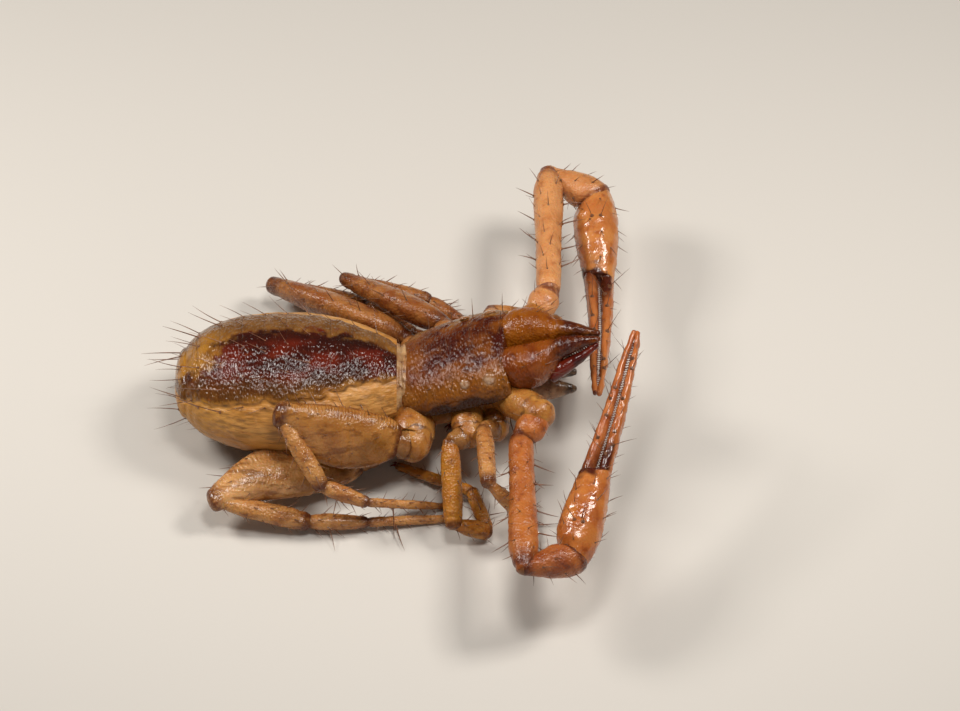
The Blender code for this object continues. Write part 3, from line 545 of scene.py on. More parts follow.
def abdomen_skin(rows=300, around=240):
    table = np.array(ABDOMEN)
    length = table[-1, 0] - table[0, 0]
    turn = np.linspace(0, math.pi / 2, 34)[1:]
    body = np.linspace(NOSE, 1.0, rows)
    share = np.concatenate([NOSE * (1 - np.cos(turn[:-1])), body])
    x = table[0, 0] + share * length
    half_wide = eased(table[:, 0], table[:, 1], x)
    half_high = eased(table[:, 0], table[:, 3], x)
    axis = eased(table[:, 0], table[:, 2], x)
    nose = share < NOSE
    at_join = table[0, 0] + NOSE * length
    reach = np.sqrt(np.clip(1 - (1 - share[nose] / NOSE) ** 2, 0, 1))
    half_wide[nose] = eased(table[:, 0], table[:, 1], at_join) * reach
    half_high[nose] = eased(table[:, 0], table[:, 3], at_join) * reach
    axis[nose] = eased(table[:, 0], table[:, 2], at_join)
    angle = 2 * np.pi * np.arange(around) / around
    tilt = np.degrees(np.minimum(angle, 2 * np.pi - angle))[None]
    phase = (share * SEGMENTS) % 1.0
    flank = np.stack([np.repeat(x[:, None], around, 1), np.sin(angle)[None] * half_wide[:, None],
                      axis[:, None] + np.cos(angle)[None] * half_high[:, None]], axis=-1)
    edge_wander = waves(flank, 0.06, 5) * 2.0
    reach_deg = np.interp(share, *BACK_REACH)[:, None] + edge_wander
    lobed = 1.6 * np.sin(math.pi * phase)[:, None] + waves(flank[:, :1], 0.12, 6) * 1.5
    on_back = between(-3.5, 3.5, reach_deg + lobed - 2.5 - tilt)
    on_belly = between(-5, 5, tilt - 180 + BELLY_REACH + lobed + edge_wander)
    rear_edge = between(0.0, 0.09, phase)[:, None]
    slope = 0.55 + 0.45 * between(1.0, 0.25, phase)[:, None]
    plate = rear_edge * slope * np.where(share > 0.06, 1.0, 0.7)[:, None]
    lift = 0.0040 * plate * np.maximum(on_back, on_belly) - 0.002
    soft = (1 - on_back) * (1 - on_belly)
    pleat_angle = np.degrees(np.repeat(angle[None], len(x), 0)) * half_high[:, None] * 0.6
    bend = waves(flank * [0.5, 1.0, 1.0], 0.16, 11) * 5 + waves(flank, 0.07, 12) * 1.4
    pleats = np.sin((pleat_angle + bend) * 0.80) * 0.0015 + waves(flank * [0.4, 1.0, 1.0], 0.030, 13) * 0.0014
    fold = -0.006 * bell(tilt - reach_deg - lobed, 2.0, 3.0) * (1 - on_belly)
    lift = lift + soft * (pleats + 0.006 * np.sin(np.clip((tilt - 60) / 60, 0, 1) * math.pi)) + fold
    lift = lift + waves(flank, 0.10, 15) * 0.0022 * on_back
    rings = flank.copy()
    rings[..., 1] += np.sin(angle)[None] * lift
    rings[..., 2] += np.cos(angle)[None] * lift
    # The flesh shows dark along the back, a little towards the near side, and amber at the rear.
    lean = np.degrees(np.where(angle > np.pi, angle - 2 * np.pi, angle))[None]
    far_edge = np.interp(share, (0, 0.12, 0.2, 0.45, 0.75, 1.0), (-8, 4, 13, 19, 18, 10))[:, None]
    near_edge = -np.interp(share, (0, 0.2, 0.5, 0.8, 1.0), (60, 50, 43, 35, 28))[:, None]
    mottle = waves(flank * [1.0, 1.6, 1.6], 0.07, 21) * 2.4 + waves(flank, 0.15, 22) * 2.0
    dark = between(-5, 10, far_edge - lean + mottle) * between(-6, 8, lean - near_edge + mottle)
    spots = waves(flank, 0.075, 24)
    rear_fade = between(0.08, 0.30, share[:, None] + spots * 0.07)
    rear_side = between(-10, -34, lean + spots * 8)
    dark = dark * np.clip(rear_fade + rear_side * 0.85, 0, 1)
    seam = bell(tilt - reach_deg - lobed, -0.5, 1.6) * (1 - on_belly) * between(0.0, 0.06, share)[:, None]
    groove = bell(phase[:, None], 0.02, 0.035) * np.maximum(on_back, on_belly)
    marks = {"dark": dark, "back_plate": on_back, "belly_plate": on_belly, "seam": seam, "groove": groove,
             "lean": lean / 90.0, "along": np.repeat(share[:, None], around, 1),
             "far_side": between(6, 30, lean) * between(110, 80, lean)}
    rear_point = [REAR_TIP, 0.0, float(axis[0])]
    front_point = [float(x[-1]), 0.0, float(axis[-1])]
    return closed_skin("abdomen_skin", rings, rear_point, front_point, marks)


abdomen_piece = abdomen_skin()
print("abdomen:", len(abdomen_piece.data.vertices), "points")

# %% [markdown]
# ## The hind body's finish
#
# Three things show at once: maroon gut contents through the clear back plates, ochre pleated skin on the flanks, and
# amber where the body thins at the rear. The marks that the skin carries choose between them, and noise frays every
# border, because flesh has no ruled edges.

# %% Abdomen finish
def abdomen_finish():
    made, tree, shader = new_finish("abdomen cuticle")
    soft = blend_of(tree, ranged(tree, noise_of(tree, 0.12, 4.0, (0.5, 1.0, 1.0)), 0.35, 0.65),
                    (0.62, 0.300, 0.078, 1.0), (0.48, 0.200, 0.034, 1.0))
    lines = ranged(tree, noise_of(tree, 0.026, 4.0, (0.22, 1.0, 1.3)), 0.47, 0.66, 0.0, 0.6)
    soft = blend_of(tree, lines, soft, (0.20, 0.085, 0.018, 1.0))
    clear = blend_of(tree, patches(tree, 0.07, 3.0, 0.3, 0.7),
                     (0.27, 0.115, 0.020, 1.0), (0.13, 0.042, 0.007, 1.0))
    tan = blend_of(tree, patches(tree, 0.05, 3.0, 0.3, 0.7), (0.20, 0.088, 0.024, 1.0), (0.12, 0.046, 0.010, 1.0))
    clear = blend_of(tree, marked(tree, "far_side", 0.1, 0.8, 0.0, 0.9), clear, tan)
    plates = math_of(tree, "MAXIMUM", mark_of(tree, "back_plate"), mark_of(tree, "belly_plate"))
    colour = blend_of(tree, plates, soft, clear)
    amber = marked(tree, "along", 0.28, 0.10, 0.0, 0.75)
    amber = times(tree, amber, marked(tree, "lean", 0.45, 0.20))
    amber = times(tree, amber, patches(tree, 0.05, 3.0, 0.32, 0.55, 0.35, 1.0))
    colour = blend_of(tree, amber, colour, (0.43, 0.185, 0.018, 1.0))
    maroon = blend_of(tree, ranged(tree, noise_of(tree, 0.10, 3.0, (0.6, 1.0, 1.0)), 0.38, 0.62),
                      (0.030, 0.0025, 0.0015, 1.0), (0.110, 0.0085, 0.0028, 1.0))
    brink = ranged(tree, apart(tree, mark_of(tree, "lean"), 0.10), 0.11, 0.02, 0.0, 0.75)
    maroon = blend_of(tree, brink, maroon, (0.014, 0.0014, 0.0010, 1.0))
    brown = marked(tree, "lean", -0.24, -0.50, 0.0, 0.8)
    maroon = blend_of(tree, brown, maroon, (0.120, 0.045, 0.008, 1.0))
    frayed = plus(tree, mark_of(tree, "dark"), patches(tree, 0.030, 3.0, 0.3, 0.7, -0.22, 0.22))
    colour = blend_of(tree, ranged(tree, frayed, 0.12, 0.88, 0.0, 0.97), colour, maroon)
    fleck = ranged(tree, noise_of(tree, 0.055, 3.0, (0.7, 1.0, 1.0)), 0.64, 0.74, 0.0, 0.55)
    fleck = times(tree, fleck, marked(tree, "along", 0.60, 0.10))
    colour = blend_of(tree, fleck, colour, (0.30, 0.085, 0.012, 1.0))
    colour = blend_of(tree, marked(tree, "groove", 0.2, 1.0, 0.0, 0.25), colour, (0.035, 0.008, 0.003, 1.0))
    broken = patches(tree, 0.04, 2.0, 0.40, 0.60, 0.10, 0.65)
    seam = times(tree, marked(tree, "seam", 0.2, 0.9), broken)
    colour = blend_of(tree, seam, colour, (0.045, 0.014, 0.004, 1.0))
    feed(tree, colour, shader.inputs["Base Color"])
    net = cells_of(tree, 0.0115, ACROSS)
    grain = noise_of(tree, 0.006, 2.0)
    height = plus(tree, net, times(tree, grain, 0.5))
    wrinkle = times(tree, noise_of(tree, 0.022, 4.0, (0.3, 1.0, 1.4)), 3.0)
    lifted = add_node(tree, "ShaderNodeMix", data_type="FLOAT")
    feed(tree, plates, lifted.inputs[0])
    feed(tree, wrinkle, lifted.inputs[2])
    feed(tree, height, lifted.inputs[3])
    raised(tree, lifted.outputs[0], 0.0028, shader)
    feed(tree, ranged(tree, plates, 0.0, 1.0, 0.36, 0.115), shader.inputs["Roughness"])
    settle(shader, Specular_IOR_Level=0.45, Subsurface_Weight=0.15, Subsurface_Radius=FLESH_RED,
           Subsurface_Scale=0.035 * MM)
    return made


dress(abdomen_piece, abdomen_finish(), "abdomen", slot="abdomen")

# %% [markdown]
# ## The head shield
#
# The carapace is one stiff, domed plate over the head and the legs' roots. It is tipped up at the front, as the animal
# raises its head. We draw it flat, in its own frame, and turn every point about the waist, which keeps its outline
# readable: a length, and a half width and height at each share of it.

# %% The head's own frame
HEAD_PITCH = math.radians(22)
WAIST = np.array([0.030, 0.0, 0.265])
CARAPACE_LENGTH = 0.475
CARAPACE = ((0.00, 0.176, 0.098), (0.06, 0.192, 0.118), (0.25, 0.216, 0.138), (0.55, 0.229, 0.140),
            (0.80, 0.230, 0.136), (0.94, 0.223, 0.126), (1.00, 0.211, 0.116))
CARAPACE_LIP = 0.022
# Eyes: share of the shield's length, degrees up from its edge, radius.
EYES = {"front": (0.86, 40, 0.028), "rear": (0.63, 41, 0.022)}
UNDERSIDE = 22


def on_head(along, across, high):
    """Points of the head from its flat frame, tipped up about the waist."""
    along, across, high = np.broadcast_arrays(along, across, high)
    c, s = math.cos(HEAD_PITCH), math.sin(HEAD_PITCH)
    return WAIST + np.stack([along * c - high * s, across, along * s + high * c], axis=-1)


def shield_point(share, angle, lift=0.0):
    """A place on the shield's back, with the angle counted up from its left edge."""
    table = np.array(CARAPACE)
    wide = eased(table[:, 0], table[:, 1], share)
    high = eased(table[:, 0], table[:, 2], share)
    c, s = np.cos(angle), np.sin(angle)
    c = np.sign(c) * np.abs(c) ** 0.86
    s = np.abs(s) ** 0.86
    return share * CARAPACE_LENGTH, c * (wide + lift), s * (high + lift)


# %% Carapace
def carapace_skin(rows=150, arch=150):
    share = np.linspace(0, 1, rows)[:, None]
    angle = np.linspace(0, math.pi, arch)[None]
    along, across, high = shield_point(share, angle)
    along = np.broadcast_to(along, across.shape)
    flat = np.stack([along, across, high], axis=-1)
    edge = np.minimum(angle, math.pi - angle)
    rim = 0.004 * bell(edge, 0.0, 0.09) - 0.005 * bell(edge, 0.24, 0.10)
    rear_rim = 0.003 * bell(share, 0.012, 0.014) - 0.004 * bell(share, 0.055, 0.022)
    front_rim = 0.003 * bell(share, 0.985, 0.012) - 0.003 * bell(share, 0.95, 0.018)
    furrow = -0.006 * bell(share - 0.60, 0.05 * np.sin(angle), 0.05) * np.sin(angle)
    dip = -0.004 * bell(share, 0.23, 0.06) * np.sin(angle)
    lift = rim + rear_rim + front_rim + furrow + dip + waves(flat, 0.09, 31) * 0.0020 - 0.002
    size = np.sqrt(across ** 2 + high ** 2) + 1e-9
    across2 = across * (1 + lift / size)
    high2 = high * (1 + lift / size)
    # A row of small teeth stands along the front margin.
    teeth = 0.5 + 0.5 * np.sin(across * 2 * math.pi / 0.016)
    front = between(0.965, 1.0, share) * (0.006 * teeth + 0.010 * bell(across, 0.0, 0.035))
    front = front * between(0.0, 0.5, high / 0.12)
    top = on_head(along + front * 0.6, across2, high2)
    under_share = np.linspace(0, 1, UNDERSIDE + 2)[1:-1]
    edge_wide = across2[:, :1]
    drop = -CARAPACE_LIP * np.sin(np.clip(np.minimum(under_share, 1 - under_share) / 0.12, 0, 1) * math.pi / 2)
    under = on_head(along[:, :1], -edge_wide * (1 - 2 * under_share[None]) * 0.995,
                    np.broadcast_to(drop[None], (rows, UNDERSIDE)))
    rings = np.concatenate([top, under], axis=1)
    near = np.concatenate([np.broadcast_to(angle / math.pi, (rows, arch)), np.ones((rows, UNDERSIDE))], axis=1)
    marks = {"near": near, "along": np.broadcast_to(share, (rows, arch + UNDERSIDE))}
    glow = np.zeros(rings.shape[:2])
    for place, degrees, radius in EYES.values():
        for spot in (degrees, 180 - degrees):
            middle = on_head(*shield_point(np.float64(place), math.radians(spot)))
            away = np.linalg.norm(rings - middle, axis=-1)
            glow = np.maximum(glow, between(radius * 1.35, radius * 0.75, away) * (1.0 if radius > 0.025 else 0.6))
    marks["eye_glow"] = glow
    first = rings[0].mean(axis=0)
    last = rings[-1].mean(axis=0)
    return closed_skin("carapace_skin", rings, first, last, marks)


def carapace_finish():
    made, tree, shader, old = altered(SHIELD_FINISH, "head shield")
    near, along = mark_of(tree, "near"), mark_of(tree, "along")
    ragged = patches(tree, 0.07, 4.0, 0.3, 0.7, -0.10, 0.10)
    middle = apart(tree, plus(tree, near, ragged), 0.50)
    core = times(tree, ranged(tree, middle, 0.27, 0.08), ranged(tree, along, 0.10, 0.40))
    core = times(tree, core, patches(tree, 0.09, 4.0, 0.34, 0.58, 0.25, 0.95))
    colour = blend_of(tree, core, old, (0.042, 0.0032, 0.0012, 1.0))
    pale = ranged(tree, plus(tree, near, ragged), 0.36, 0.18, 0.0, 0.75)
    colour = blend_of(tree, pale, colour, (0.22, 0.105, 0.024, 1.0))
    low = times(tree, ranged(tree, near, 0.62, 0.80), patches(tree, 0.10, 3.0, 0.3, 0.6, 0.3, 0.8))
    colour = blend_of(tree, low, colour, (0.24, 0.082, 0.0085, 1.0))
    hem = plus(tree, near, times(tree, ragged, 0.25))
    hem = times(tree, ranged(tree, hem, 0.895, 0.955, 0.0, 0.93), ranged(tree, along, 1.02, 0.80, 0.15, 1.0))
    colour = blend_of(tree, hem, colour, (0.020, 0.0030, 0.0015, 1.0))
    rear = ranged(tree, along, 0.16, 0.02, 0.0, 0.5)
    colour = blend_of(tree, rear, colour, (0.30, 0.12, 0.026, 1.0))
    halo = times(tree, marked(tree, "eye_glow", 0.0, 1.0, 0.0, 0.6), patches(tree, 0.018, 3.0, 0.35, 0.6, 0.35, 1.0))
    colour = blend_of(tree, halo, colour, (0.46, 0.27, 0.13, 1.0))
    feed(tree, colour, shader.inputs["Base Color"])
    return made


carapace_piece = carapace_skin()
dress(carapace_piece, carapace_finish(), "carapace", slot="carapace")
print("carapace:", len(carapace_piece.data.vertices), "points")

# %% [markdown]
# ## Eyes
#
# The animal has four simple eyes, two on each side, each a clear lens over a pale reflecting layer. A lens is a low
# dome sunk a little into the shield, so a spun profile makes it: one curve turned about the lens's own axis. The
# shield's skin carries a pale mark round each lens, where that layer shines through.

# %% Eyes
def lens_finish():
    made, tree, shader = new_finish("eye lens")
    pale = blend_of(tree, patches(tree, 0.012, 3.0, 0.35, 0.65),
                    (0.56, 0.38, 0.25, 1.0), (0.34, 0.17, 0.07, 1.0))
    ring = marked(tree, "along", 0.40, 0.95, 0.0, 0.85)
    feed(tree, blend_of(tree, ring, pale, (0.24, 0.090, 0.022, 1.0)), shader.inputs["Base Color"])
    settle(shader, Roughness=0.12, Coat_Weight=1.0, Coat_Roughness=0.04, Subsurface_Weight=0.4,
           Subsurface_Radius=(1.0, 0.6, 0.35), Subsurface_Scale=0.012 * MM)
    return made


LENS_FINISH = lens_finish()
LENS_AROUND = 40
LENS_RISE = 0.25


def eye(name, share, angle, radius, side):
    along, across, high = shield_point(np.float64(share), math.radians(angle))
    centre = on_head(along, side * across, high)
    inner = on_head(along, side * across * 0.6, high * 0.4)
    out = unit(centre - inner)
    ahead = unit(np.array([1.0, 0.0, 0.4]) - out * np.dot(out, [1.0, 0.0, 0.4]))
    across_eye = np.cross(out, ahead)
    profile = np.linspace(0.04, 1.0, 20)
    around = 2 * np.pi * np.arange(LENS_AROUND) / LENS_AROUND
    swell = 2 * LENS_RISE * np.sqrt(np.clip(1 - profile ** 2.2, 0, 1)) - LENS_RISE
    rings = []
    for r, h in zip(profile, swell):
        flat = np.cos(around)[:, None] * ahead + np.sin(around)[:, None] * across_eye
        rings.append(centre + (flat * r + out * h) * radius)
    rings = np.array(rings)
    below = centre - out * radius * 0.5
    top = centre + out * radius * LENS_RISE
    return closed_skin(name, rings, top, below, {"along": np.repeat(profile[:, None], LENS_AROUND, 1)})


for word, side in SIDES:
    for place, (share, angle, radius) in EYES.items():
        made = eye(f"lens_{place}_{word}", share, angle, radius, side)
        dress(made, LENS_FINISH, f"eye_{place}_{word}", slot="eye")

# %% [markdown]
# ## Legs
#
# Every leg is a chain of tubes: a short knob at the body, a long thigh, and three thinner pieces down to the foot.
# The two rear pairs have deep, flattened thighs full of jumping muscle. Each chain starts at its hip and follows
# a list of turns and rises, as the solids do. The segments sink a little into each other here, where the solids keep
# a gap, because on the animal each one slides into the collar of the one before.

# %% Leg sizes and poses
LEG_LENGTHS = {
    1: (0.104, 0.311, 0.19, 0.18, 0.36),
    2: (0.091, 0.348, 0.16, 0.20, 0.37),
    3: (0.085, 0.523, 0.35, 0.20, 0.38),
    4: (0.150, 0.640, 0.40, 0.245, 0.36),
}
LEG_THICKNESS = {
    1: ((0.042, 0.040), (0.039, 0.036), (0.035, 0.032), (0.029, 0.026), (0.023, 0.021)),
    2: ((0.048, 0.044), (0.043, 0.039), (0.038, 0.034), (0.031, 0.028), (0.024, 0.022)),
    3: ((0.066, 0.056), (0.130, 0.056), (0.041, 0.035), (0.035, 0.030), (0.019, 0.018)),
    4: ((0.062, 0.054), (0.130, 0.064), (0.045, 0.038), (0.036, 0.031), (0.021, 0.020)),
}
LEG_NAMES = {
    1: ("femur", "patella", "tibia", "tarsus"),
    2: ("femur", "patella", "tibia", "tarsus"),
    3: ("femur", "tibia", "metatarsus", "tarsus"),
    4: ("femur", "tibia", "metatarsus", "tarsus"),
}
POSE = {
    ("right", 1): ((0.407, 0.245, 0.243), ((140.5, 46.7), (86.5, 3.5), (22, -42), (52, -76), (-86, 0))),
    ("right", 2): ((0.286, 0.300, 0.271), ((149, 14), (87, -31.6), (-7, -26), (-109, 10), (-149, 0))),
    ("right", 3): ((0.050, 0.300, 0.211), ((168, 30), (178, 23.4), (50, -38), (9, -21), (-18, 0))),
    ("right", 4): ((-0.062, 0.226, 0.135), ((149, -20), (158, 5), (6, -13), (-1, -2), (-7, 0))),
    ("left", 1): ((0.395, 0.234, 0.353), ((101, -17), (6, -22), (-100, 0), (-130, -50), (-160, 0))),
    ("left", 2): ((0.318, 0.236, 0.300), ((104, -18), (10, -26), (-10, -15), (-170, -5), (-165, 0))),
    ("left", 3): ((0.200, 0.257, 0.229), ((98, -5), (143, -9), (-8, -12), (-33, -10), (-14, 0))),
    ("left", 4): ((0.077, 0.198, 0.142), ((108, -8), (153, 1), (-4, -14), (-34, -3), (-26, 0))),
}
UPRIGHT = {("left", 3): 0.7, ("left", 4): 1.1}
LEANING = {("right", 3): (0.0, 0.66, 0.75)}
FOOT_HEIGHT = 0.011

ROD = ((0.00, 0.70, 0.70, 0), (0.08, 0.86, 0.86, 0), (0.30, 1.0, 1.0, 0),
       (0.65, 1.0, 1.0, 0), (0.92, 0.92, 0.92, 0), (1.0, 0.84, 0.84, 0))
CLUB = ((0.00, 0.55, 0.55, 0), (0.12, 0.66, 0.66, 0), (0.40, 0.92, 0.92, 0),
        (0.75, 1.0, 1.0, 0), (0.94, 0.92, 0.92, 0), (1.0, 0.80, 0.80, 0))
PLATE = ((0.00, 0.46, 0.62, 0.02), (0.08, 0.70, 0.82, 0.08), (0.22, 0.94, 0.98, 0.15), (0.40, 1.00, 1.00, 0.20),
         (0.58, 0.90, 0.92, 0.21), (0.76, 0.70, 0.78, 0.18), (0.91, 0.51, 0.64, 0.09), (1.00, 0.40, 0.56, 0.01))
BLADE = ((0.00, 0.60, 0.70, 0.00), (0.07, 0.76, 0.86, -0.02), (0.22, 0.92, 1.00, -0.08), (0.40, 1.00, 1.00, -0.12),
         (0.58, 0.95, 0.95, -0.13), (0.74, 0.80, 0.84, -0.11), (0.88, 0.54, 0.70, -0.03), (1.00, 0.42, 0.60, 0.00))
BLUNT_PLATE = tuple((share, max(deep, 0.64 if share > 0.5 else 0.0), wide, shift * 0.6)
                    for share, deep, wide, shift in PLATE)
SLENDER = ((0.00, 0.62, 0.62, 0), (0.10, 0.84, 0.84, 0), (0.34, 1.0, 1.0, 0),
           (0.72, 0.88, 0.88, 0), (1.0, 0.70, 0.70, 0))
FOOT = ((0.00, 0.80, 0.80, 0), (0.08, 1.0, 1.0, 0), (0.45, 1.0, 1.0, 0),
        (0.85, 0.84, 0.84, 0), (1.0, 0.66, 0.66, 0))
KNOB = ((0.00, 0.62, 0.62, 0), (0.25, 0.92, 0.92, 0), (0.55, 1.0, 1.0, 0), (0.85, 0.80, 0.80, 0))


# %% Leg skins
def segment_relief(seed, suture=None, rough=1.0):
    """The low unevenness of a limb: a collar at its end, fine lengthwise creases and, on a thigh, a slanting seam."""
    def relief(share, angle, rings):
        lift = waves(rings, 0.05, seed) * 0.0012 * rough + waves(rings, 0.02, seed + 1) * 0.0006 * rough
        lift = lift + 0.0016 * bell(share, 0.965, 0.022) - 0.0016 * bell(share, 0.915, 0.022)
        if suture:
            line = suture + 0.06 * np.cos(angle)
            lift = lift - 0.0035 * bell(share, line, 0.012) + 0.0015 * bell(share - line, 0.03, 0.02)
        return lift
    return relief


LEG_WARM = cuticle("leg cuticle amber", (0.47, 0.185, 0.020), (0.36, 0.120, 0.012), (0.15, 0.045, 0.008),
                   joint=(0.09, 0.022, 0.005), glow=0.4, stripe=0.4, joint_ends=(0.07, 0.93), relief=0.0018)
LEG_FAR = cuticle("leg cuticle brown", (0.36, 0.140, 0.034), (0.23, 0.064, 0.013), (0.11, 0.022, 0.006),
                  joint=(0.06, 0.010, 0.004), glow=0.3, stripe=0.4, joint_ends=(0.14, 0.86), relief=0.0018)
JOINTS = []


def leg(word, side, number):
    hip, angles = POSE[(word, number)]
    lengths = LEG_LENGTHS[number]
    thickness = LEG_THICKNESS[number]
    ways = [heading(yaw, pitch, side) for yaw, pitch in angles]
    joints = chained(hip, side, lengths[:4], ways)
    drop = (FOOT_HEIGHT - joints[4][2]) / lengths[4]
    flat = math.sqrt(1 - drop * drop)
    yaw = math.radians(angles[4][0])
    ways[4] = np.array([flat * math.cos(yaw), side * flat * math.sin(yaw), drop])
    joints.append(joints[4] + ways[4] * lengths[4])
    hinge = unit(np.cross(ways[1], ways[2]))
    back = unit(np.cross(ways[1], hinge) + np.array([0.0, 0.0, UPRIGHT.get((word, number), 0.0)]))
    back = np.array(LEANING.get((word, number), back))
    finish = LEG_WARM if (word, number) == ("right", 2) else LEG_FAR if word == "left" and number > 2 else LEG_FINISH
    seed = number * 10 + (side > 0) * 100
    knob = profiled(joints[0] - ways[0] * 0.02, ways[0], back, lengths[0] + 0.02, KNOB, thickness[0])
    knob_look = KNOB_FINISH if word == "right" else finish
    dress(tube(f"leg_{number}_{word}_trochanter_skin", knob, relief=segment_relief(seed)), knob_look, slot="leg")
    middle = BLADE if (word, number) in LEANING else {3: BLUNT_PLATE, 4: PLATE}.get(number, ROD)
    thickness = list(thickness)
    if middle is BLUNT_PLATE:
        thickness[1] = (thickness[1][0] * 0.72, thickness[1][1])
    shapes = (middle, CLUB, SLENDER if number > 2 else ROD, FOOT)
    for k, (name, profile) in enumerate(zip(LEG_NAMES[number], shapes), start=1):
        deep = back if k == 1 else np.cross(ways[k], hinge)
        if np.linalg.norm(deep) < 0.3:
            deep = np.array([0.0, 0.0, 1.0])
        sections = profiled(joints[k], ways[k], deep, lengths[k], profile, thickness[k])
        full = f"leg_{number}_{word}_{name}"
        relief = segment_relief(seed + k, suture=0.40 if k == 1 and number > 2 else None)
        thigh = k == 1 and number > 2
        made = tube(full + "_skin", sections, around=60 if thigh else AROUND, relief=relief)
        # The near hind thigh takes the copy painted lighter, as painted light under the body's shade.
        if thigh and finish is LEG_FINISH:
            dress(made, THIGH_FINISH if number == 3 else THIGH_PAINTED_LIGHT, full, slot="leg")
        else:
            dress(made, finish, full, slot="leg")
        JOINTS.append((joints[k], min(thickness[k - 1][1], thickness[k][1]) * 0.60))
    return joints, ways


LEGS = {}
for word, side in SIDES:
    for number in (1, 2, 3, 4):
        LEGS[(word, number)] = leg(word, side, number)
print("leg skins:", sum(name.startswith("leg") for name in SKINS))

# %% [markdown]
# ## Pincers
#
# The pedipalps are arms that end in pincers twice as long as the head shield. Each has a knob, a long upper arm that
# widens towards its end, a goblet shaped elbow piece, and a swollen hand whose inner finger is fixed while the outer
# one moves. They are the same kind of tubes as the legs. Where the elbow piece meets the hand at an angle, the
# sections of both are turned into the same plane, as a mitre joins two boards.

# %% Pincer sizes and poses
PALP_LENGTHS = (0.133, 0.69, 0.22)
PALP_THICKNESS = ((0.060, 0.066), (0.058, 0.060), (0.063, 0.065))
HAND_LENGTH = 0.41
FINGER_LENGTH = 0.64
HAND_DEEP = 0.092
HAND_WIDE = 0.095
PALP_POSE = {
    "right": ((0.592, 0.320, 0.436), ((133.6, -21.4), (89, 1), (-24, -12), (-74.5, 15), (-74.5, 16))),
    "left": ((0.577, 0.212, 0.440), ((69, 10), (90, -5), (-23.5, -16), (-87, -11), (-91, 4))),
}
ARM = ((0.00, 0.78, 0.78, 0), (0.06, 0.88, 0.88, 0), (0.25, 0.88, 0.88, 0), (0.50, 0.94, 0.94, 0),
       (0.70, 1.04, 1.04, 0), (0.83, 1.04, 1.04, 0), (0.92, 0.88, 0.88, 0), (1.00, 0.60, 0.60, 0))
GOBLET = ((0.00, 0.50, 0.50, 0), (0.10, 0.56, 0.56, 0), (0.28, 0.74, 0.74, 0), (0.50, 0.98, 0.98, 0),
          (0.72, 1.16, 1.16, 0), (0.88, 1.20, 1.20, 0), (1.00, 1.12, 1.12, 0))
HAND = ((0.00, 0.68, 0.68), (0.06, 0.80, 0.80), (0.16, 0.92, 0.92), (0.32, 0.99, 0.99), (0.50, 0.97, 0.97),
        (0.68, 0.87, 0.87), (0.84, 0.75, 0.77), (0.96, 0.62, 0.68))
FINGER_SHARES = (0.0, 0.06, 0.2, 0.4, 0.6, 0.8, 0.92, 1.0)
SPLIT = 0.032

PALP_NEAR = cuticle("palp cuticle red brown", (0.46, 0.145, 0.030), (0.36, 0.098, 0.019), (0.19, 0.038, 0.007),
                    joint=(0.075, 0.010, 0.004), glow=0.3, joint_ends=(0.07, 0.84), relief=0.0014, wrinkle=1.8)
ELBOW_NEAR = cuticle("palp cuticle elbow", (0.38, 0.110, 0.024), (0.26, 0.058, 0.012), (0.13, 0.021, 0.005),
                     joint=(0.055, 0.007, 0.003), joint_ends=(0.20, 0.90), relief=0.0018)
HAND_NEAR = cuticle("pincer hand cuticle red brown", (0.50, 0.165, 0.034), (0.40, 0.108, 0.020), (0.24, 0.048, 0.009),
                    glow=0.3, gloss=0.20, relief=0.0008, coat=0.5, polish=0.06)


# %% Pincer skins
def hand_marks(limit, outer):
    """Marks the notch between the two fingers, where the cuticle is dark red."""
    def marks(share, rings):
        reach = share / limit + waves(rings, 0.05, 71) * 0.05
        inward = np.sum(unit(rings - rings.mean(axis=1, keepdims=True)) * outer, axis=-1)
        tongue = 0.07 * bell(inward, 0.0, 0.4)
        notch = between(0.86, 0.99, reach + 0.08 * inward + tongue) * between(1.50, 1.12, reach)
        return {"finger": notch * between(-0.95, -0.15, inward)}
    return marks


def hand_finish(base, name):
    made, tree, shader, old = altered(base, name)
    root = marked(tree, "finger", 0.05, 0.9, 0.0, 0.95)
    beyond = marked(tree, "along", 0.36, 0.46, 0.0, 0.55)
    colour = blend_of(tree, beyond, old, (0.40, 0.115, 0.030, 1.0))
    feed(tree, blend_of(tree, root, colour, (0.050, 0.004, 0.002, 1.0)), shader.inputs["Base Color"])
    return made


HAND_LOOK = {"left": hand_finish(HAND_FINISH, "pincer hand far"), "right": hand_finish(HAND_NEAR, "pincer hand near")}
PALP_LOOK = {"left": PALP_FINISH, "right": PALP_NEAR}
TEETH_PATHS = []


def mitred(sections, bend, from_end):
    """Turns the last or first three sections step by step into the plane of a bent joint."""
    out = list(sections)
    for step in range(3):
        k = len(out) - 1 - step if from_end else step
        centre, along, *rest = out[k]
        out[k] = (centre, unit(along + (bend - along) * (3 - step) / 3), *rest)
    return out


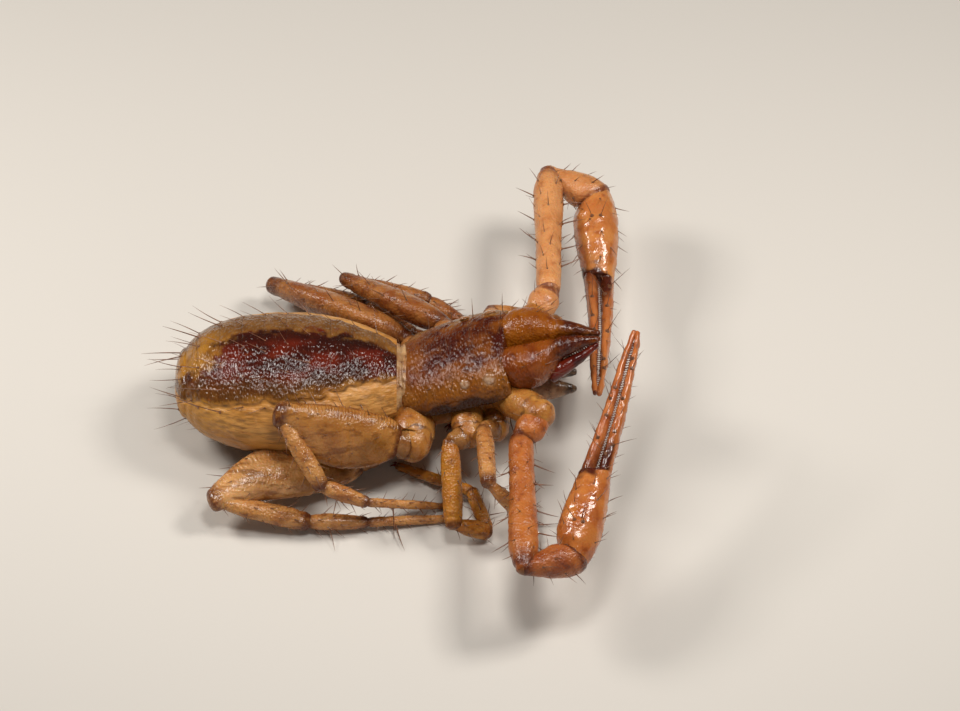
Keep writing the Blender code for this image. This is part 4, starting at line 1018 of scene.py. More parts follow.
def palp(word, side):
    hip, angles = PALP_POSE[word]
    ways = [heading(yaw, pitch, side) for yaw, pitch in angles]
    joints = chained(hip, side, PALP_LENGTHS, ways)
    up = np.array([0.0, 0.0, 1.0])
    wrist = unit(ways[2] + ways[3])
    for k, (name, profile) in enumerate((("trochanter", KNOB), ("femur", ARM), ("patella", GOBLET))):
        sections = profiled(joints[k], ways[k], up, PALP_LENGTHS[k], profile, PALP_THICKNESS[k])
        if name == "patella":
            sections = mitred(sections, wrist, True)
        full = f"palp_{word}_{name}"
        made = tube(full + "_skin", sections, around=56, relief=segment_relief(200 + k + side, rough=1.3))
        dress(made, ELBOW_NEAR if side < 0 and k == 2 else PALP_LOOK[word], full, slot="palp")
        JOINTS.append((joints[k + 1], 0.030))
    along = ways[3]
    outer = unit(side * np.cross(along, up))
    base = joints[3]
    hand = [(base + along * HAND_LENGTH * share, along, up, HAND_DEEP * deep, HAND_WIDE * wide)
            for share, deep, wide in HAND]
    hand = mitred(hand, wrist, False)
    pointing = ways[4]
    inner_edge = []
    for share in FINGER_SHARES:
        half = 0.037 - 0.024 * share
        aside = -outer * (SPLIT * (1 - 0.58 * share) - 0.012 * max(0.0, share - 0.9) * 5)
        where = base + along * HAND_LENGTH + pointing * FINGER_LENGTH * share + aside
        where = where + (up * 0.012 - outer * 0.010) * math.sin(math.pi * share)
        hand.append((where, pointing, up, half * 1.15, half * 0.80))
        inner_edge.append((where + outer * half * 0.80, outer))
    TEETH_PATHS.append((f"palp_{word}_hand", inner_edge))
    total = HAND_LENGTH + FINGER_LENGTH
    made = tube(f"palp_{word}_hand_skin", hand, around=64, relief=segment_relief(220 + side, rough=1.9),
                marks=hand_marks(HAND_LENGTH / total, outer))
    dress(made, HAND_LOOK[word], f"palp_{word}_hand", slot="palp")
    moving = []
    inner_edge = []
    hinge = base + along * HAND_LENGTH * 0.90 + outer * SPLIT * 1.25
    reach = FINGER_LENGTH + HAND_LENGTH * 0.10
    for share in FINGER_SHARES:
        half = (0.037 - 0.024 * share) * (0.86 if share == 0.0 else 1.0)
        aside = outer * (SPLIT * (1 - 0.58 * share) - SPLIT * 1.25 + 0.006 - 0.011 * max(0.0, share - 0.8) / 0.2)
        where = hinge + pointing * reach * share + aside
        where = where + (up * 0.012 - outer * 0.010) * math.sin(math.pi * share)
        moving.append((where, pointing, up, half * 1.15, half * 0.80))
        inner_edge.append((where - outer * half * 0.80, -outer))
    TEETH_PATHS.append((f"palp_{word}_finger", inner_edge))
    made = tube(f"palp_{word}_finger_skin", moving, around=48, relief=segment_relief(240 + side))
    dress(made, FINGER_FINISH, f"palp_{word}_finger", slot="pincer_finger")


for word, side in SIDES:
    palp(word, side)
print("pincer skins:", sum(name.startswith("palp") for name in SKINS))

# %% [markdown]
# ## Chelicerae
#
# In front of the shield stand the two jaws, small pincers in their own right: a swollen red brown palm, a fixed
# finger on top and a moving finger below and outside it, both almost black. The palms touch along the middle.

# %% Chelicera skins
CHELICERA_BASE = (0.488, 0.020)
CHELICERA_PITCH = 18
CHELICERA_PALM = 0.200
CHELICERA_DEEP = 0.100
CHELICERA_WIDE = 0.096
CHELICERA_FINGER = 0.168


def chelicera(word, side):
    along = heading(0, CHELICERA_PITCH, side)
    up = np.cross(along, [0.0, 1.0, 0.0])
    up = up if up[2] > 0 else -up
    outer = np.array([0.0, side * 1.0, 0.0])
    start = on_head(CHELICERA_BASE[0], 0.0, CHELICERA_BASE[1])
    palm = []
    for share, deep, wide in ((-0.12, 0.86, 0.88), (0.0, 0.92, 0.94), (0.15, 1.0, 1.0), (0.42, 0.98, 0.98),
                              (0.66, 0.86, 0.88), (0.86, 0.68, 0.70), (1.0, 0.54, 0.52)):
        half_wide = CHELICERA_WIDE * wide
        centre = start + along * CHELICERA_PALM * share + outer * (half_wide + 0.002)
        palm.append((centre + up * CHELICERA_DEEP * (1 - deep) * 0.25, along, up, CHELICERA_DEEP * deep, half_wide))
    fixed_edge = []
    for share in (0.12, 0.3, 0.5, 0.7, 0.87, 1.0):
        half = 0.050 - 0.036 * share
        centre = start + along * (CHELICERA_PALM + CHELICERA_FINGER * share)
        centre = centre + outer * (half + 0.002) + up * (0.020 - 0.034 * share * share)
        palm.append((centre, along, up, half * (1.1 - 0.1 * share), half))
        fixed_edge.append((centre + (outer - up) * 0.66 * half, unit(outer - up)))

    def relief(share, angle, rings):
        lift = waves(rings, 0.06, 300 + side) * 0.0015 + 0.0022 * bell(share, 0.50, 0.02)
        return lift - 0.0015

    made = tube(f"chelicera_{word}_palm_skin", palm, around=72, step=0.0055, relief=relief)
    dress(made, CHELICERA_FAR if side > 0 else CHELICERA_FINISH, f"chelicera_{word}_palm", slot="chelicera")
    TEETH_PATHS.append((f"chelicera_{word}_palm", fixed_edge[1:]))
    moving = []
    moving_edge = []
    for share in (0.0, 0.12, 0.35, 0.6, 0.82, 1.0):
        half = 0.042 - 0.030 * share
        centre = start + along * (CHELICERA_PALM * 0.78 + (CHELICERA_FINGER + CHELICERA_PALM * 0.16) * share)
        centre = centre + outer * (0.104 - 0.030 * share - 0.044 * share * share) - up * (0.062 - 0.030 * share)
        moving.append((centre, unit(along - outer * 0.25 * share), up, half, half))
        moving_edge.append((centre + unit(up - outer) * half * 0.95, unit(up - outer)))
    made = tube(f"chelicera_{word}_finger_skin", moving, around=48, step=0.005, relief=segment_relief(320 + side))
    dress(made, CLAW_FINISH, f"chelicera_{word}_finger", slot="claw")
    TEETH_PATHS.append((f"chelicera_{word}_finger", moving_edge[2:]))


for word, side in SIDES:
    chelicera(word, side)
print("toothed edges:", len(TEETH_PATHS))

# %% [markdown]
# ## The underside
#
# All limbs spring from coxae, rounded blocks packed side by side under the shield. Each is its own closed tube, and
# they are joined to one piece because they never move against each other. The creases where they meet are real. In
# front, two hairy lobes close the mouth from below.

# %% Coxae
def gather(name, pieces):
    """Joins closed pieces into one."""
    with bpy.context.temp_override(active_object=pieces[0], selected_editable_objects=pieces):
        bpy.ops.object.join()
    pieces[0].name = name
    pieces[0].data.name = name
    return pieces[0]


def coxae():
    up = on_head(0.0, 0.0, 1.0) - WAIST
    ahead = on_head(1.0, 0.0, 0.0) - WAIST
    plate = []
    for share, half_wide, low in ((-0.06, 0.130, 0.120), (0.02, 0.165, 0.150), (0.20, 0.185, 0.160),
                                  (0.45, 0.190, 0.160), (0.70, 0.180, 0.150), (0.92, 0.160, 0.130)):
        top = -CARAPACE_LIP - 0.002
        half = (low + top) / 2
        plate.append((on_head(share * CARAPACE_LENGTH, 0.0, top - half), ahead, up, half, half_wide))
    pieces = [tube("coxa_body", plate, around=64, relief=segment_relief(400, rough=2.0))]
    lobes = []
    for word, side in SIDES:
        for number in (1, 2, 3, 4):
            hip, angles = POSE[(word, number)]
            end = on_side(hip, side)
            way_out = heading(angles[0][0], angles[0][1], side)
            size = LEG_THICKNESS[number][0][0] * 1.28
            inner = np.array([end[0] * 0.9 + 0.02, side * 0.055, end[2] + 0.01])
            way = unit(end - inner)
            sections = [(inner + (end - inner) * share, way, up, size * wide, size * wide)
                        for share, wide in ((0.0, 0.85), (0.35, 1.1), (0.7, 1.12), (0.92, 1.0))]
            sections.append((end + way_out * 0.004, unit(way + way_out), up, size * 0.9, size * 0.9))
            pieces.append(tube(f"coxa_{number}_{word}_skin", sections, relief=segment_relief(410 + number)))
        end = on_side(PALP_POSE[word][0], side)
        inner = on_head(0.36, side * 0.085, -0.085)
        way = unit(end - inner)
        sections = [(inner + (end - inner) * share, way, up, 0.072 * wide, 0.072 * wide)
                    for share, wide in ((0.0, 0.75), (0.3, 1.0), (0.7, 1.02), (1.0, 0.9))]
        pieces.append(tube(f"coxa_palp_{word}_skin", sections, around=52, relief=segment_relief(430, rough=1.5)))
        root = on_head(0.38, side * 0.062, -0.135)
        tip = on_head(0.655, side * 0.044, -0.255)
        way = unit(tip - root)
        sections = [(root + (tip - root) * share, way, up, size, size * 0.9)
                    for share, size in ((0.0, 0.056), (0.35, 0.056), (0.7, 0.044), (0.9, 0.026), (1.0, 0.014))]
        lobes.append(tube(f"mouth_lobe_{word}_skin", sections, relief=segment_relief(440)))
    return gather("coxae_skin", pieces), gather("mouth_lobes", lobes)


coxa_piece, mouth_piece = coxae()
dress(coxa_piece, COXA_FINISH, "coxae", slot="coxae")
dress(mouth_piece, MOUTH_FINISH, slot="coxae")

# %% [markdown]
# ## Joint skins
#
# Between two segments the hard cuticle gives way to soft skin. Only a sliver of it shows, so a small ball at each
# joint is enough. A wider pleated collar closes the waist between the hind body and the shield.

# %% Joint balls and the waist collar
def ball(name, centre, radius):
    rows = np.linspace(0.12, math.pi - 0.12, 12)
    turn = 2 * np.pi * np.arange(20) / 20
    rings = np.array([[centre + radius * np.array([math.cos(r), math.sin(r) * math.cos(t), math.sin(r) * math.sin(t)])
                       for t in turn] for r in rows])
    marks = {"along": np.repeat((rows / math.pi)[:, None], 20, 1)}
    return closed_skin(name, rings, centre + [radius, 0, 0], centre - [radius, 0, 0], marks)


def waist():
    front = on_head(0.05, 0.0, -0.01)
    rear = np.array([-0.055, 0.0, 0.277])
    along = unit(front - rear)
    up = np.array([0.0, 0.0, 1.0])
    sections = [(rear + (front - rear) * share, along, up, deep, wide)
                for share, deep, wide in ((0.0, 0.120, 0.170), (0.4, 0.125, 0.165), (1.0, 0.100, 0.160))]
    pleats = lambda share, angle, rings: 0.004 * np.sin(share * 2 * math.pi * 4) + waves(rings, 0.03, 501) * 0.002
    return tube("waist_skin", sections, around=96, step=0.003, relief=pleats)


joint_skins = gather("joint_skins", [ball(f"joint_{k}", centre, size) for k, (centre, size) in enumerate(JOINTS)])
dress(joint_skins, MEMBRANE_FINISH, slot="leg")
dress(waist(), COLLAR_FINISH, slot="abdomen")
print("joints:", len(JOINTS))

# %% [markdown]
# ## Bristles, grown by Geometry Nodes
#
# Every plate carries stiff hairs, each standing in a small ring. Hundreds of like things on known spots are a job for
# Geometry Nodes: one short tree draws a single tapered, bent bristle with its ring and sets it on every root. The
# roots are loose points that carry a direction and a length. The tree's named inputs are the thickness, the bend, the
# size of the ring, the seed of the random spin and the finish. It ends by realizing the copies and setting their
# finish, and the result is turned into a plain mesh, because an export loses instances.

# %% A tree that grows bristles
def new_tree(name, inputs):
    tree = bpy.data.node_groups.new(name, "GeometryNodeTree")
    tree.interface.new_socket(name="Geometry", in_out="INPUT", socket_type="NodeSocketGeometry")
    for label, kind in inputs:
        tree.interface.new_socket(name=label, in_out="INPUT", socket_type=kind)
    tree.interface.new_socket(name="Geometry", in_out="OUTPUT", socket_type="NodeSocketGeometry")
    return tree, tree.nodes.new("NodeGroupInput").outputs, tree.nodes.new("NodeGroupOutput")


def chain(tree, kind, values=(), **settings):
    """Adds a node and feeds its inputs by name or place."""
    made = add_node(tree, kind, **settings)
    for socket, source in dict(values).items():
        feed(tree, source, made.inputs[socket])
    return made


def named(tree, name, kind="FLOAT_VECTOR"):
    """What the points carry under a name."""
    return chain(tree, "GeometryNodeInputNamedAttribute", {"Name": name}, data_type=kind).outputs[0]


def bristle_tree():
    tree, given, result = new_tree("grow bristles", (("Thickness", "NodeSocketFloat"), ("Bend", "NodeSocketFloat"),
                                                     ("Ring", "NodeSocketFloat"), ("Seed", "NodeSocketInt"),
                                                     ("Finish", "NodeSocketMaterial")))
    line = chain(tree, "GeometryNodeCurvePrimitiveLine", {"End": (0.0, 0.0, 1.0)})
    fine = chain(tree, "GeometryNodeResampleCurve", {"Curve": line.outputs[0], "Count": 7})
    along = chain(tree, "GeometryNodeSplineParameter").outputs["Factor"]
    bow = times(tree, times(tree, along, along), given["Bend"])
    push = chain(tree, "ShaderNodeCombineXYZ", {"X": bow})
    bent = chain(tree, "GeometryNodeSetPosition", {"Geometry": fine.outputs[0], "Offset": push.outputs[0]})
    taper = math_of(tree, "SUBTRACT", 1.0, times(tree, math_of(tree, "POWER", along, 1.6), 0.88))
    radius = times(tree, taper, given["Thickness"])
    round_profile = chain(tree, "GeometryNodeCurvePrimitiveCircle", {"Resolution": 5, "Radius": 1.0})
    sweep = chain(tree, "GeometryNodeCurveToMesh", {"Curve": bent.outputs[0], "Scale": radius, "Fill Caps": True,
                                                    "Profile Curve": round_profile.outputs[0]})
    ring_size = times(tree, given["Thickness"], given["Ring"])
    ring = chain(tree, "GeometryNodeMeshCone", {"Vertices": 8, "Radius Top": times(tree, ring_size, 0.62),
                                                "Radius Bottom": ring_size, "Depth": times(tree, ring_size, 0.7)})
    both = chain(tree, "GeometryNodeJoinGeometry")
    feed(tree, sweep.outputs[0], both.inputs[0])
    feed(tree, ring.outputs[0], both.inputs[0])
    own = chain(tree, "GeometryNodeInputPosition").outputs[0]
    split = chain(tree, "ShaderNodeSeparateXYZ", {0: own})
    local = chain(tree, "ShaderNodeCombineXYZ", {"X": times(tree, split.outputs[0], 0.03),
                                                 "Y": times(tree, split.outputs[2], 0.003)})
    kept = chain(tree, "GeometryNodeStoreNamedAttribute", {"Geometry": both.outputs[0], "Name": "local",
                                                           "Value": local.outputs[0]}, data_type="FLOAT_VECTOR")
    offset = named(tree, "local")
    way = named(tree, "way")
    size = named(tree, "size", "FLOAT")
    aim = chain(tree, "FunctionNodeAlignRotationToVector", {"Vector": way}, axis="Z").outputs[0]
    spin = chain(tree, "FunctionNodeRandomValue", {2: 0.0, 3: 2 * math.pi, "Seed": given["Seed"]},
                 data_type="FLOAT").outputs[1]
    turn = chain(tree, "FunctionNodeAxisAngleToRotation", {"Axis": (0.0, 0.0, 1.0), "Angle": spin}).outputs[0]
    pose = chain(tree, "FunctionNodeRotateRotation", {"Rotation": aim, "Rotate By": turn},
                 rotation_space="LOCAL").outputs[0]
    points = chain(tree, "GeometryNodeMeshToPoints", {"Mesh": given["Geometry"]})
    copies = chain(tree, "GeometryNodeInstanceOnPoints", {"Points": points.outputs[0], "Instance": kept.outputs[0],
                                                          "Rotation": pose, "Scale": size})
    real = chain(tree, "GeometryNodeRealizeInstances", {"Geometry": copies.outputs[0]})
    patch = named(tree, "patch")
    patch = chain(tree, "ShaderNodeVectorMath", {0: patch, 1: offset}, operation="ADD").outputs[0]
    stored = chain(tree, "GeometryNodeStoreNamedAttribute", {"Geometry": real.outputs[0], "Name": "OFBake",
                                                             "Value": patch}, data_type="FLOAT2", domain="CORNER")
    done = chain(tree, "GeometryNodeSetMaterial", {"Geometry": stored.outputs[0], "Material": given["Finish"]})
    feed(tree, done.outputs[0], result.inputs[0])
    return tree


BRISTLE_TREE = bristle_tree()


def grown(piece, tree, values):
    """Runs a tree on a piece with its inputs set by identifier, and leaves the plain mesh that it makes."""
    change = piece.modifiers.new("grow", "NODES")
    change.node_group = tree
    names = {item.name: item.identifier for item in tree.interface.items_tree if item.in_out == "INPUT"}
    for label, value in values.items():
        change[names[label]] = value
    bpy.context.view_layer.update()
    graph = bpy.context.evaluated_depsgraph_get()
    mesh = bpy.data.meshes.new_from_object(piece.evaluated_get(graph))
    piece.modifiers.clear()
    piece.data = mesh


# %% [markdown]
# ## Where the bristles stand
#
# On a plate they stand in one row along its rear edge, on a limb in loose lengthwise rows that lean towards its tip.
# A root is therefore asked for by a share of its skin's length and an angle round it, and takes its place and its
# outward direction from the skin, so no bristle floats.

# %% Roots on the skins
DRAW = np.random.default_rng(2024)
ROOTS = {}


def root(group, skin, share, angle, length, lean, twist=0.0):
    """Notes one bristle. Lean is its tilt towards the skin's tip and twist its turn aside, all in degrees."""
    form = SKINS[skin]
    around = form["rings"].shape[1]
    row = int(np.argmin(np.abs(form["share"] - share)))
    column = int(round((angle % 360.0) / 360.0 * around)) % around
    out = form["outward"][row, column]
    ahead = form["forward"][row, column]
    across = np.cross(out, ahead)
    tilt = math.radians(lean)
    way = unit(out * math.cos(tilt) + ahead * math.sin(tilt) + across * math.radians(twist))
    place = form["rings"][row, column] - out * 0.0012
    rise = (0.004 - place[2]) / length
    if way[2] < rise:
        flat = unit(way * [1.0, 1.0, 0.0]) * math.sqrt(max(0.05, 1 - rise * rise))
        way = unit(np.array([flat[0], flat[1], rise]))
    ROOTS.setdefault(group, []).append((place, way, length, (share, (angle % 360.0) / 360.0)))


def scatter(group, skin, count, length, lean, low=0.10, high=0.94):
    """Loose rows of bristles over a limb segment."""
    for k in range(count):
        share = low + (high - low) * ((k + 0.5) / count + DRAW.uniform(-0.3, 0.3) / count)
        angle = (k * 137.5 + DRAW.uniform(-16, 16)) % 360.0
        root(group, skin, share, angle, length * DRAW.uniform(0.75, 1.3), lean + DRAW.uniform(-10, 10),
             DRAW.uniform(-12, 12))


def bristle_finish(name, dark, tip):
    made, tree, shader = new_finish(name)
    colour = blend_of(tree, patches(tree, 0.02, 2.0, 0.35, 0.65), (*dark, 1.0), (*tip, 1.0))
    feed(tree, colour, shader.inputs["Base Color"])
    settle(shader, Roughness=0.32, Coat_Weight=0.3)
    return made


DARK_BRISTLE = bristle_finish("bristle dark", (0.12, 0.045, 0.018), (0.22, 0.09, 0.04))
PALE_BRISTLE = bristle_finish("bristle pale", (0.40, 0.20, 0.12), (0.30, 0.13, 0.07))


def grow_group(group, thickness, bend, ring, seed, finish):
    """Grows all bristles noted for a group. Thickness and ring are shares of a bristle's own length and girth."""
    found = ROOTS[group]
    mesh = bpy.data.meshes.new(group)
    mesh.from_pydata(to_frame([place for place, _, _, _ in found]).tolist(), [], [])
    keep(mesh, "way", [way for _, way, _, _ in found])
    keep(mesh, "size", [length * MM for _, _, length, _ in found])
    keep(mesh, "patch", [(*patch, 0.0) for _, _, _, patch in found])
    piece = put(group, mesh)
    grown(piece, BRISTLE_TREE, {"Thickness": thickness, "Bend": bend, "Ring": ring, "Seed": seed, "Finish": finish})
    print(group, len(found), "bristles,", len(piece.data.polygons), "faces")
    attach(piece, "root")


# %% Bristles of the hind body
PLATE_BRISTLES = (5, 6, 6, 5, 6, 5, 4, 4, 4, 4)
for plate, count in enumerate(PLATE_BRISTLES):
    share = max(0.03, (plate + 0.10) / SEGMENTS)
    spread = 118 if plate < 3 else 96 if plate < 7 else 66
    for k in range(count):
        angle = spread * (k / (count - 1) - 0.5) + DRAW.uniform(-5, 5)
        length = (0.150 if plate < 3 else 0.110 if plate < 7 else 0.085) * DRAW.uniform(0.85, 1.25)
        group = "bristles_abdomen_pale" if -45 < angle < 20 and plate > 1 else "bristles_abdomen_dark"
        lean = (-24 if group.endswith("pale") else -38) + DRAW.uniform(-12, 12)
        root(group, "abdomen_skin", share, -angle, length, lean, DRAW.uniform(-16, 16))
for plate in range(1, 9):
    for k in range(6):
        angle = 180 + 76 * (k / 5 - 0.5) + DRAW.uniform(-4, 4)
        root("bristles_abdomen_dark", "abdomen_skin", (plate + 0.10) / SEGMENTS, angle, 0.06, -50,
             DRAW.uniform(-10, 10))
for k in range(12):
    angle = k * 30 + DRAW.uniform(-9, 9)
    root("bristles_abdomen_dark", "abdomen_skin", 0.020 + 0.030 * (k % 3), angle, 0.10 * DRAW.uniform(0.7, 1.5), -30,
         DRAW.uniform(-15, 15))
grow_group("bristles_abdomen_dark", 0.016, 0.10, 3.0, 1, DARK_BRISTLE)
grow_group("bristles_abdomen_pale", 0.012, 0.10, 3.0, 2, PALE_BRISTLE)

# %% Bristles of the shield and jaws
def on_shield(share, degrees, length, lean=-35.0, twist=0.0):
    """A bristle on the shield, with its angle counted up from the left edge."""
    form = SKINS["carapace_skin"]
    row = int(np.argmin(np.abs(form["share"] - share)))
    target = on_head(*shield_point(np.float64(share), math.radians(degrees)))
    column = int(np.argmin(np.linalg.norm(form["rings"][row] - target, axis=1)))
    root("bristles_shield", "carapace_skin", share, column * 360.0 / form["rings"].shape[1], length, lean, twist)


for share, angles, length in ((0.97, (35, 62, 84, 96, 118, 145), 0.075), (0.72, (48, 84, 96, 132), 0.085),
                              (0.50, (40, 88, 140), 0.085), (0.30, (46, 134), 0.09), (0.03, (60, 120), 0.08)):
    for degrees in angles:
        on_shield(share, degrees, length * DRAW.uniform(0.85, 1.2), 20 + DRAW.uniform(-12, 12), DRAW.uniform(-15, 15))
for word in ("left", "right"):
    for share, angle in ((0.22, 40), (0.30, 80), (0.38, 20), (0.44, 60), (0.46, 110)):
        root("bristles_shield", f"chelicera_{word}_palm_skin", share, angle if word == "right" else -angle, 0.06, 40)
grow_group("bristles_shield", 0.026, 0.12, 2.4, 3, DARK_BRISTLE)

# %% Bristles of the legs
for (word, number) in POSE:
    names = LEG_NAMES[number]
    counts = (16, 14, 16, 30) if number < 3 else (26, 26, 18, 30)
    for k, (name, count) in enumerate(zip(names, counts)):
        skin = f"leg_{number}_{word}_{name}_skin"
        scatter("bristles_legs", skin, count, 0.042 if k < 3 else 0.036, 48 if k < 3 else 42)
    tarsus = f"leg_{number}_{word}_{names[3]}_skin"
    root("bristles_legs_long", tarsus, 0.35, 0, 0.13, 8)
    root("bristles_legs_long", f"leg_{number}_{word}_{names[2]}_skin", 0.40, 5, 0.10, 10)
    if number > 2:
        for share in (0.30, 0.50, 0.70, 0.86, 0.94):
            root("bristles_legs_long", f"leg_{number}_{word}_femur_skin", share, DRAW.uniform(-35, 35), 0.085, 30)
grow_group("bristles_legs", 0.042, 0.14, 2.0, 4, DARK_BRISTLE)
grow_group("bristles_legs_long", 0.026, 0.08, 2.4, 5, DARK_BRISTLE)

# %% Bristles of the pincers
# Rows of bristles: segment, number, length, lean and, on the hand and the finger, the stretch that they cover.
PALP_ROWS = (("trochanter", 8, 0.045, 40), ("femur", 34, 0.055, 35), ("patella", 16, 0.055, 35),
             ("hand", 30, 0.055, 40, 0.04, 0.40), ("hand", 22, 0.040, 45, 0.44, 0.95),
             ("finger", 26, 0.040, 45, 0.10, 0.95))
# The long sensory hairs stand on known spots: segment, length, and share and angle of each.
SENSORY_SPOTS = (("hand", 0.15, ((0.125, -14), (0.125, 14))),
                 ("hand", 0.16, ((0.46, -20), (0.50, 20), (0.56, 0), (0.70, -10), (0.84, 10), (0.88, -15))),
                 ("finger", 0.15, ((0.25, 0), (0.40, 10), (0.52, -10), (0.60, 5))))
for word, side in SIDES:
    for segment, *row in PALP_ROWS:
        scatter("bristles_palps", f"palp_{word}_{segment}_skin", *row)
    for share, angle in ((0.20, 0.0), (0.36, 12.0), (0.55, -8.0), (0.74, 6.0)):
        root("bristles_palps", f"palp_{word}_femur_skin", share, angle + 90 * side, 0.10, 25)
        root("bristles_palps", f"palp_{word}_femur_skin", share + 0.05, angle - 90 * side, 0.085, 35)
    for segment, length, spots in SENSORY_SPOTS:
        for share, angle in spots:
            root("sensory_hairs", f"palp_{word}_{segment}_skin", share, angle, length, 4)
grow_group("bristles_palps", 0.034, 0.12, 2.2, 6, DARK_BRISTLE)
grow_group("sensory_hairs", 0.011, 0.05, 5.5, 7, DARK_BRISTLE)

# %% [markdown]
# ## Teeth along the fingers
#
# The facing edges of all eight fingers carry a row of close, equal teeth. That is a path with a thing repeated along
# it, so a second tree lays a cone every hundredth of a millimetre along the edge, pointing across the gap.

# %% A tree that sets teeth along a path
def tooth_tree():
    tree, given, result = new_tree("set teeth", (("Spacing", "NodeSocketFloat"), ("Height", "NodeSocketFloat"),
                                                 ("Width", "NodeSocketFloat"), ("Finish", "NodeSocketMaterial")))
    path = chain(tree, "GeometryNodeMeshToCurve", {"Mesh": given["Geometry"]})
    even = chain(tree, "GeometryNodeResampleCurve", {"Curve": path.outputs[0], "Length": given["Spacing"]},
                 mode="LENGTH")
    tooth = chain(tree, "GeometryNodeMeshCone", {"Vertices": 6, "Radius Bottom": given["Width"], "Radius Top": 0.0,
                                                 "Depth": given["Height"]})
    way = named(tree, "way")
    aim = chain(tree, "FunctionNodeAlignRotationToVector", {"Vector": way}, axis="Z").outputs[0]
    copies = chain(tree, "GeometryNodeInstanceOnPoints", {"Points": even.outputs[0], "Instance": tooth.outputs[0],
                                                          "Rotation": aim})
    real = chain(tree, "GeometryNodeRealizeInstances", {"Geometry": copies.outputs[0]})
    done = chain(tree, "GeometryNodeSetMaterial", {"Geometry": real.outputs[0], "Material": given["Finish"]})
    feed(tree, done.outputs[0], result.inputs[0])
    return tree


TOOTH_TREE = tooth_tree()
TOOTH_FINISH = cuticle("tooth cuticle", (0.20, 0.05, 0.02), (0.13, 0.028, 0.01), (0.07, 0.01, 0.005), gloss=0.45,
                       coat=0.0)

for name, edge in TEETH_PATHS:
    jaw = name.startswith("chelicera")
    mesh = bpy.data.meshes.new(f"teeth_{name}")
    sunk = [place - way * 0.001 for place, way in edge[:-1]]
    mesh.from_pydata(to_frame(sunk).tolist(), [(k, k + 1) for k in range(len(sunk) - 1)], [])
    keep(mesh, "way", [way for _, way in edge[:-1]])
    made = put(f"teeth_{name}", mesh)
    spacing, height, width = (0.010, 0.009, 0.0045) if jaw else (0.0115, 0.0095, 0.0050)
    grown(made, TOOTH_TREE, {"Spacing": spacing * MM, "Height": height * MM, "Width": width * MM,
                             "Finish": CLAW_FINISH if jaw else TOOTH_FINISH})
    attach(made, "root")
    print(made.name, len(made.data.polygons), "faces")

# %% [markdown]
# ## Feet
#
# Each foot ends in two curved claws with a soft pad between them. They are short tubes bent down from the tip of the
# last segment.

# %% Claws and pads
CLAW_SECTIONS = ((0.0, 0.0050), (0.3, 0.0046), (0.6, 0.0036), (0.85, 0.0024), (1.0, 0.0012))


def foot(word, number, tip, way):
    up = unit(np.array([0.0, 0.0, 1.0]) - way * way[2])
    across = np.cross(way, up)
    pieces = []
    for sign in (1, -1):
        sections = []
        for t, half in CLAW_SECTIONS:
            place = tip + across * sign * (0.005 + 0.006 * t) + way * (0.004 + 0.030 * t)
            sections.append((place + up * (0.006 + 0.010 * t - 0.022 * t * t), way, up, half, half))
        pieces.append(tube(f"foot_claw_{number}_{word}_{sign}", sections, around=12, step=0.004))
    return pieces


claws, pads = [], []
for (word, number), (joints, ways) in LEGS.items():
    claws += foot(word, number, joints[5], ways[4])
    pads.append(ball(f"pad_{number}_{word}", joints[5] + ways[4] * 0.012 + np.array([0.0, 0.0, 0.001]), 0.008))
dress(gather("foot_claws", claws), CLAW_FINISH, slot="leg")
dress(gather("foot_pads", pads), MEMBRANE_FINISH, slot="leg")

# %% [markdown]
# ## Floor, light and camera
#
# The picture is a macro photograph lit by two small, close flash lamps, one at the left rear and one at the right,
# which draw two bright streaks on every glossy limb. A small lamp overhead and a weak one in front fill the shadows,
# and a plain pale floor bounces light up under the body. The lens is very long for such a small thing, so lines hardly
# converge, and it looks down at 51 degrees on the animal's right side.

# %% Floor
def floor_finish():
    made, _, shader = new_finish("floor")
    settle(shader, Base_Color=(0.64, 0.600, 0.545, 1.0), Roughness=0.8)
    return made


HALF_FLOOR = 60 * MM
FLOOR_LEVEL = -2e-6
floor_mesh = bpy.data.meshes.new("floor")
corners = ((-1, -1), (1, -1), (1, 1), (-1, 1))
floor_mesh.from_pydata([(HALF_FLOOR * x, HALF_FLOOR * y, FLOOR_LEVEL) for x, y in corners], [], [(0, 1, 2, 3)])
floor = put("floor", floor_mesh)
floor_mesh.materials.append(floor_finish())

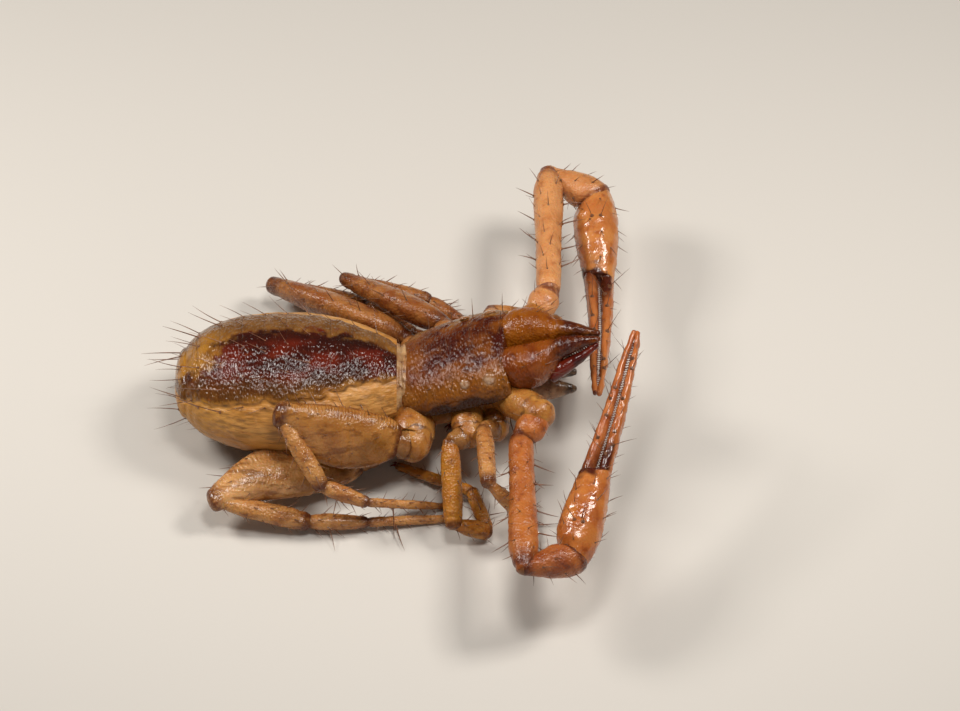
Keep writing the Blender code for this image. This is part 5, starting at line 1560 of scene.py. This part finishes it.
# %% Light
def soft_light(name, place, size, watts, colour):
    """A square lamp at a place in millimetres, turned to the animal."""
    lamp = bpy.data.lights.new(name, "AREA")
    lamp.size = size * MM
    lamp.energy = watts
    lamp.color = colour
    made = put(name, lamp)
    made.location = Vector(place) * MM
    made.rotation_euler = (Vector((0.0, 0.0, 0.3)) * MM - made.location).to_track_quat("-Z", "Y").to_euler()


soft_light("flash left", (-4.4, 1.2, 4.6), 1.7, 2.3e-4, (1.0, 0.97, 0.93))
soft_light("flash right", (3.6, 0.6, 5.3), 1.5, 2.1e-4, (1.0, 0.97, 0.93))
soft_light("overhead", (0.3, -1.0, 6.5), 1.4, 1.5e-4, (1.0, 0.98, 0.96))
soft_light("front fill", (2.0, -6.5, 2.8), 4.5, 4.5e-5, (1.0, 0.96, 0.92))
world = bpy.data.worlds.new("studio")
bpy.context.scene.world = world
world.use_nodes = True
settle(world.node_tree.nodes["Background"], Color=(1.0, 0.985, 0.97, 1.0), Strength=0.09)
bpy.context.scene.view_settings.view_transform = "Standard"

# %% Camera
ELEVATION = math.radians(51)
# The picture's size in pixels, the millimetres that a pixel covers, and where the drawing's origin falls in it.
PICTURE_WIDE, PICTURE_HIGH = 960, 711
PIXEL = 0.0042
ORIGIN_AT = (400, 421.1)
DISTANCE = 60.0
SENSOR = 36.0
aim_x = (PICTURE_WIDE / 2 - ORIGIN_AT[0]) * PIXEL
aim_up = (ORIGIN_AT[1] - PICTURE_HIGH / 2) * PIXEL
aim = np.array([aim_x, aim_up * math.sin(ELEVATION), aim_up * math.cos(ELEVATION)]) - MIDDLE
toward = np.array([0.0, -math.cos(ELEVATION), math.sin(ELEVATION)])
camera_data = bpy.data.cameras.new("camera")
camera_data.sensor_width = SENSOR
camera_data.lens = SENSOR * DISTANCE / (PICTURE_WIDE * PIXEL)
camera_data.clip_start = 1 * MM
camera_data.clip_end = 10.0
camera = put("camera", camera_data)
camera.location = Vector(aim + toward * DISTANCE) * MM
camera.rotation_euler = Vector(-toward).to_track_quat("-Z", "Y").to_euler()
bpy.context.scene.camera = camera
print("camera looks at", np.round(aim, 3), "mm")

# %% Measure and finish
bpy.context.view_layer.update()
faces = sum(len(o.data.polygons) for o in bpy.data.objects if o.type == "MESH" and not o.hide_render)
print("faces shown:", faces)
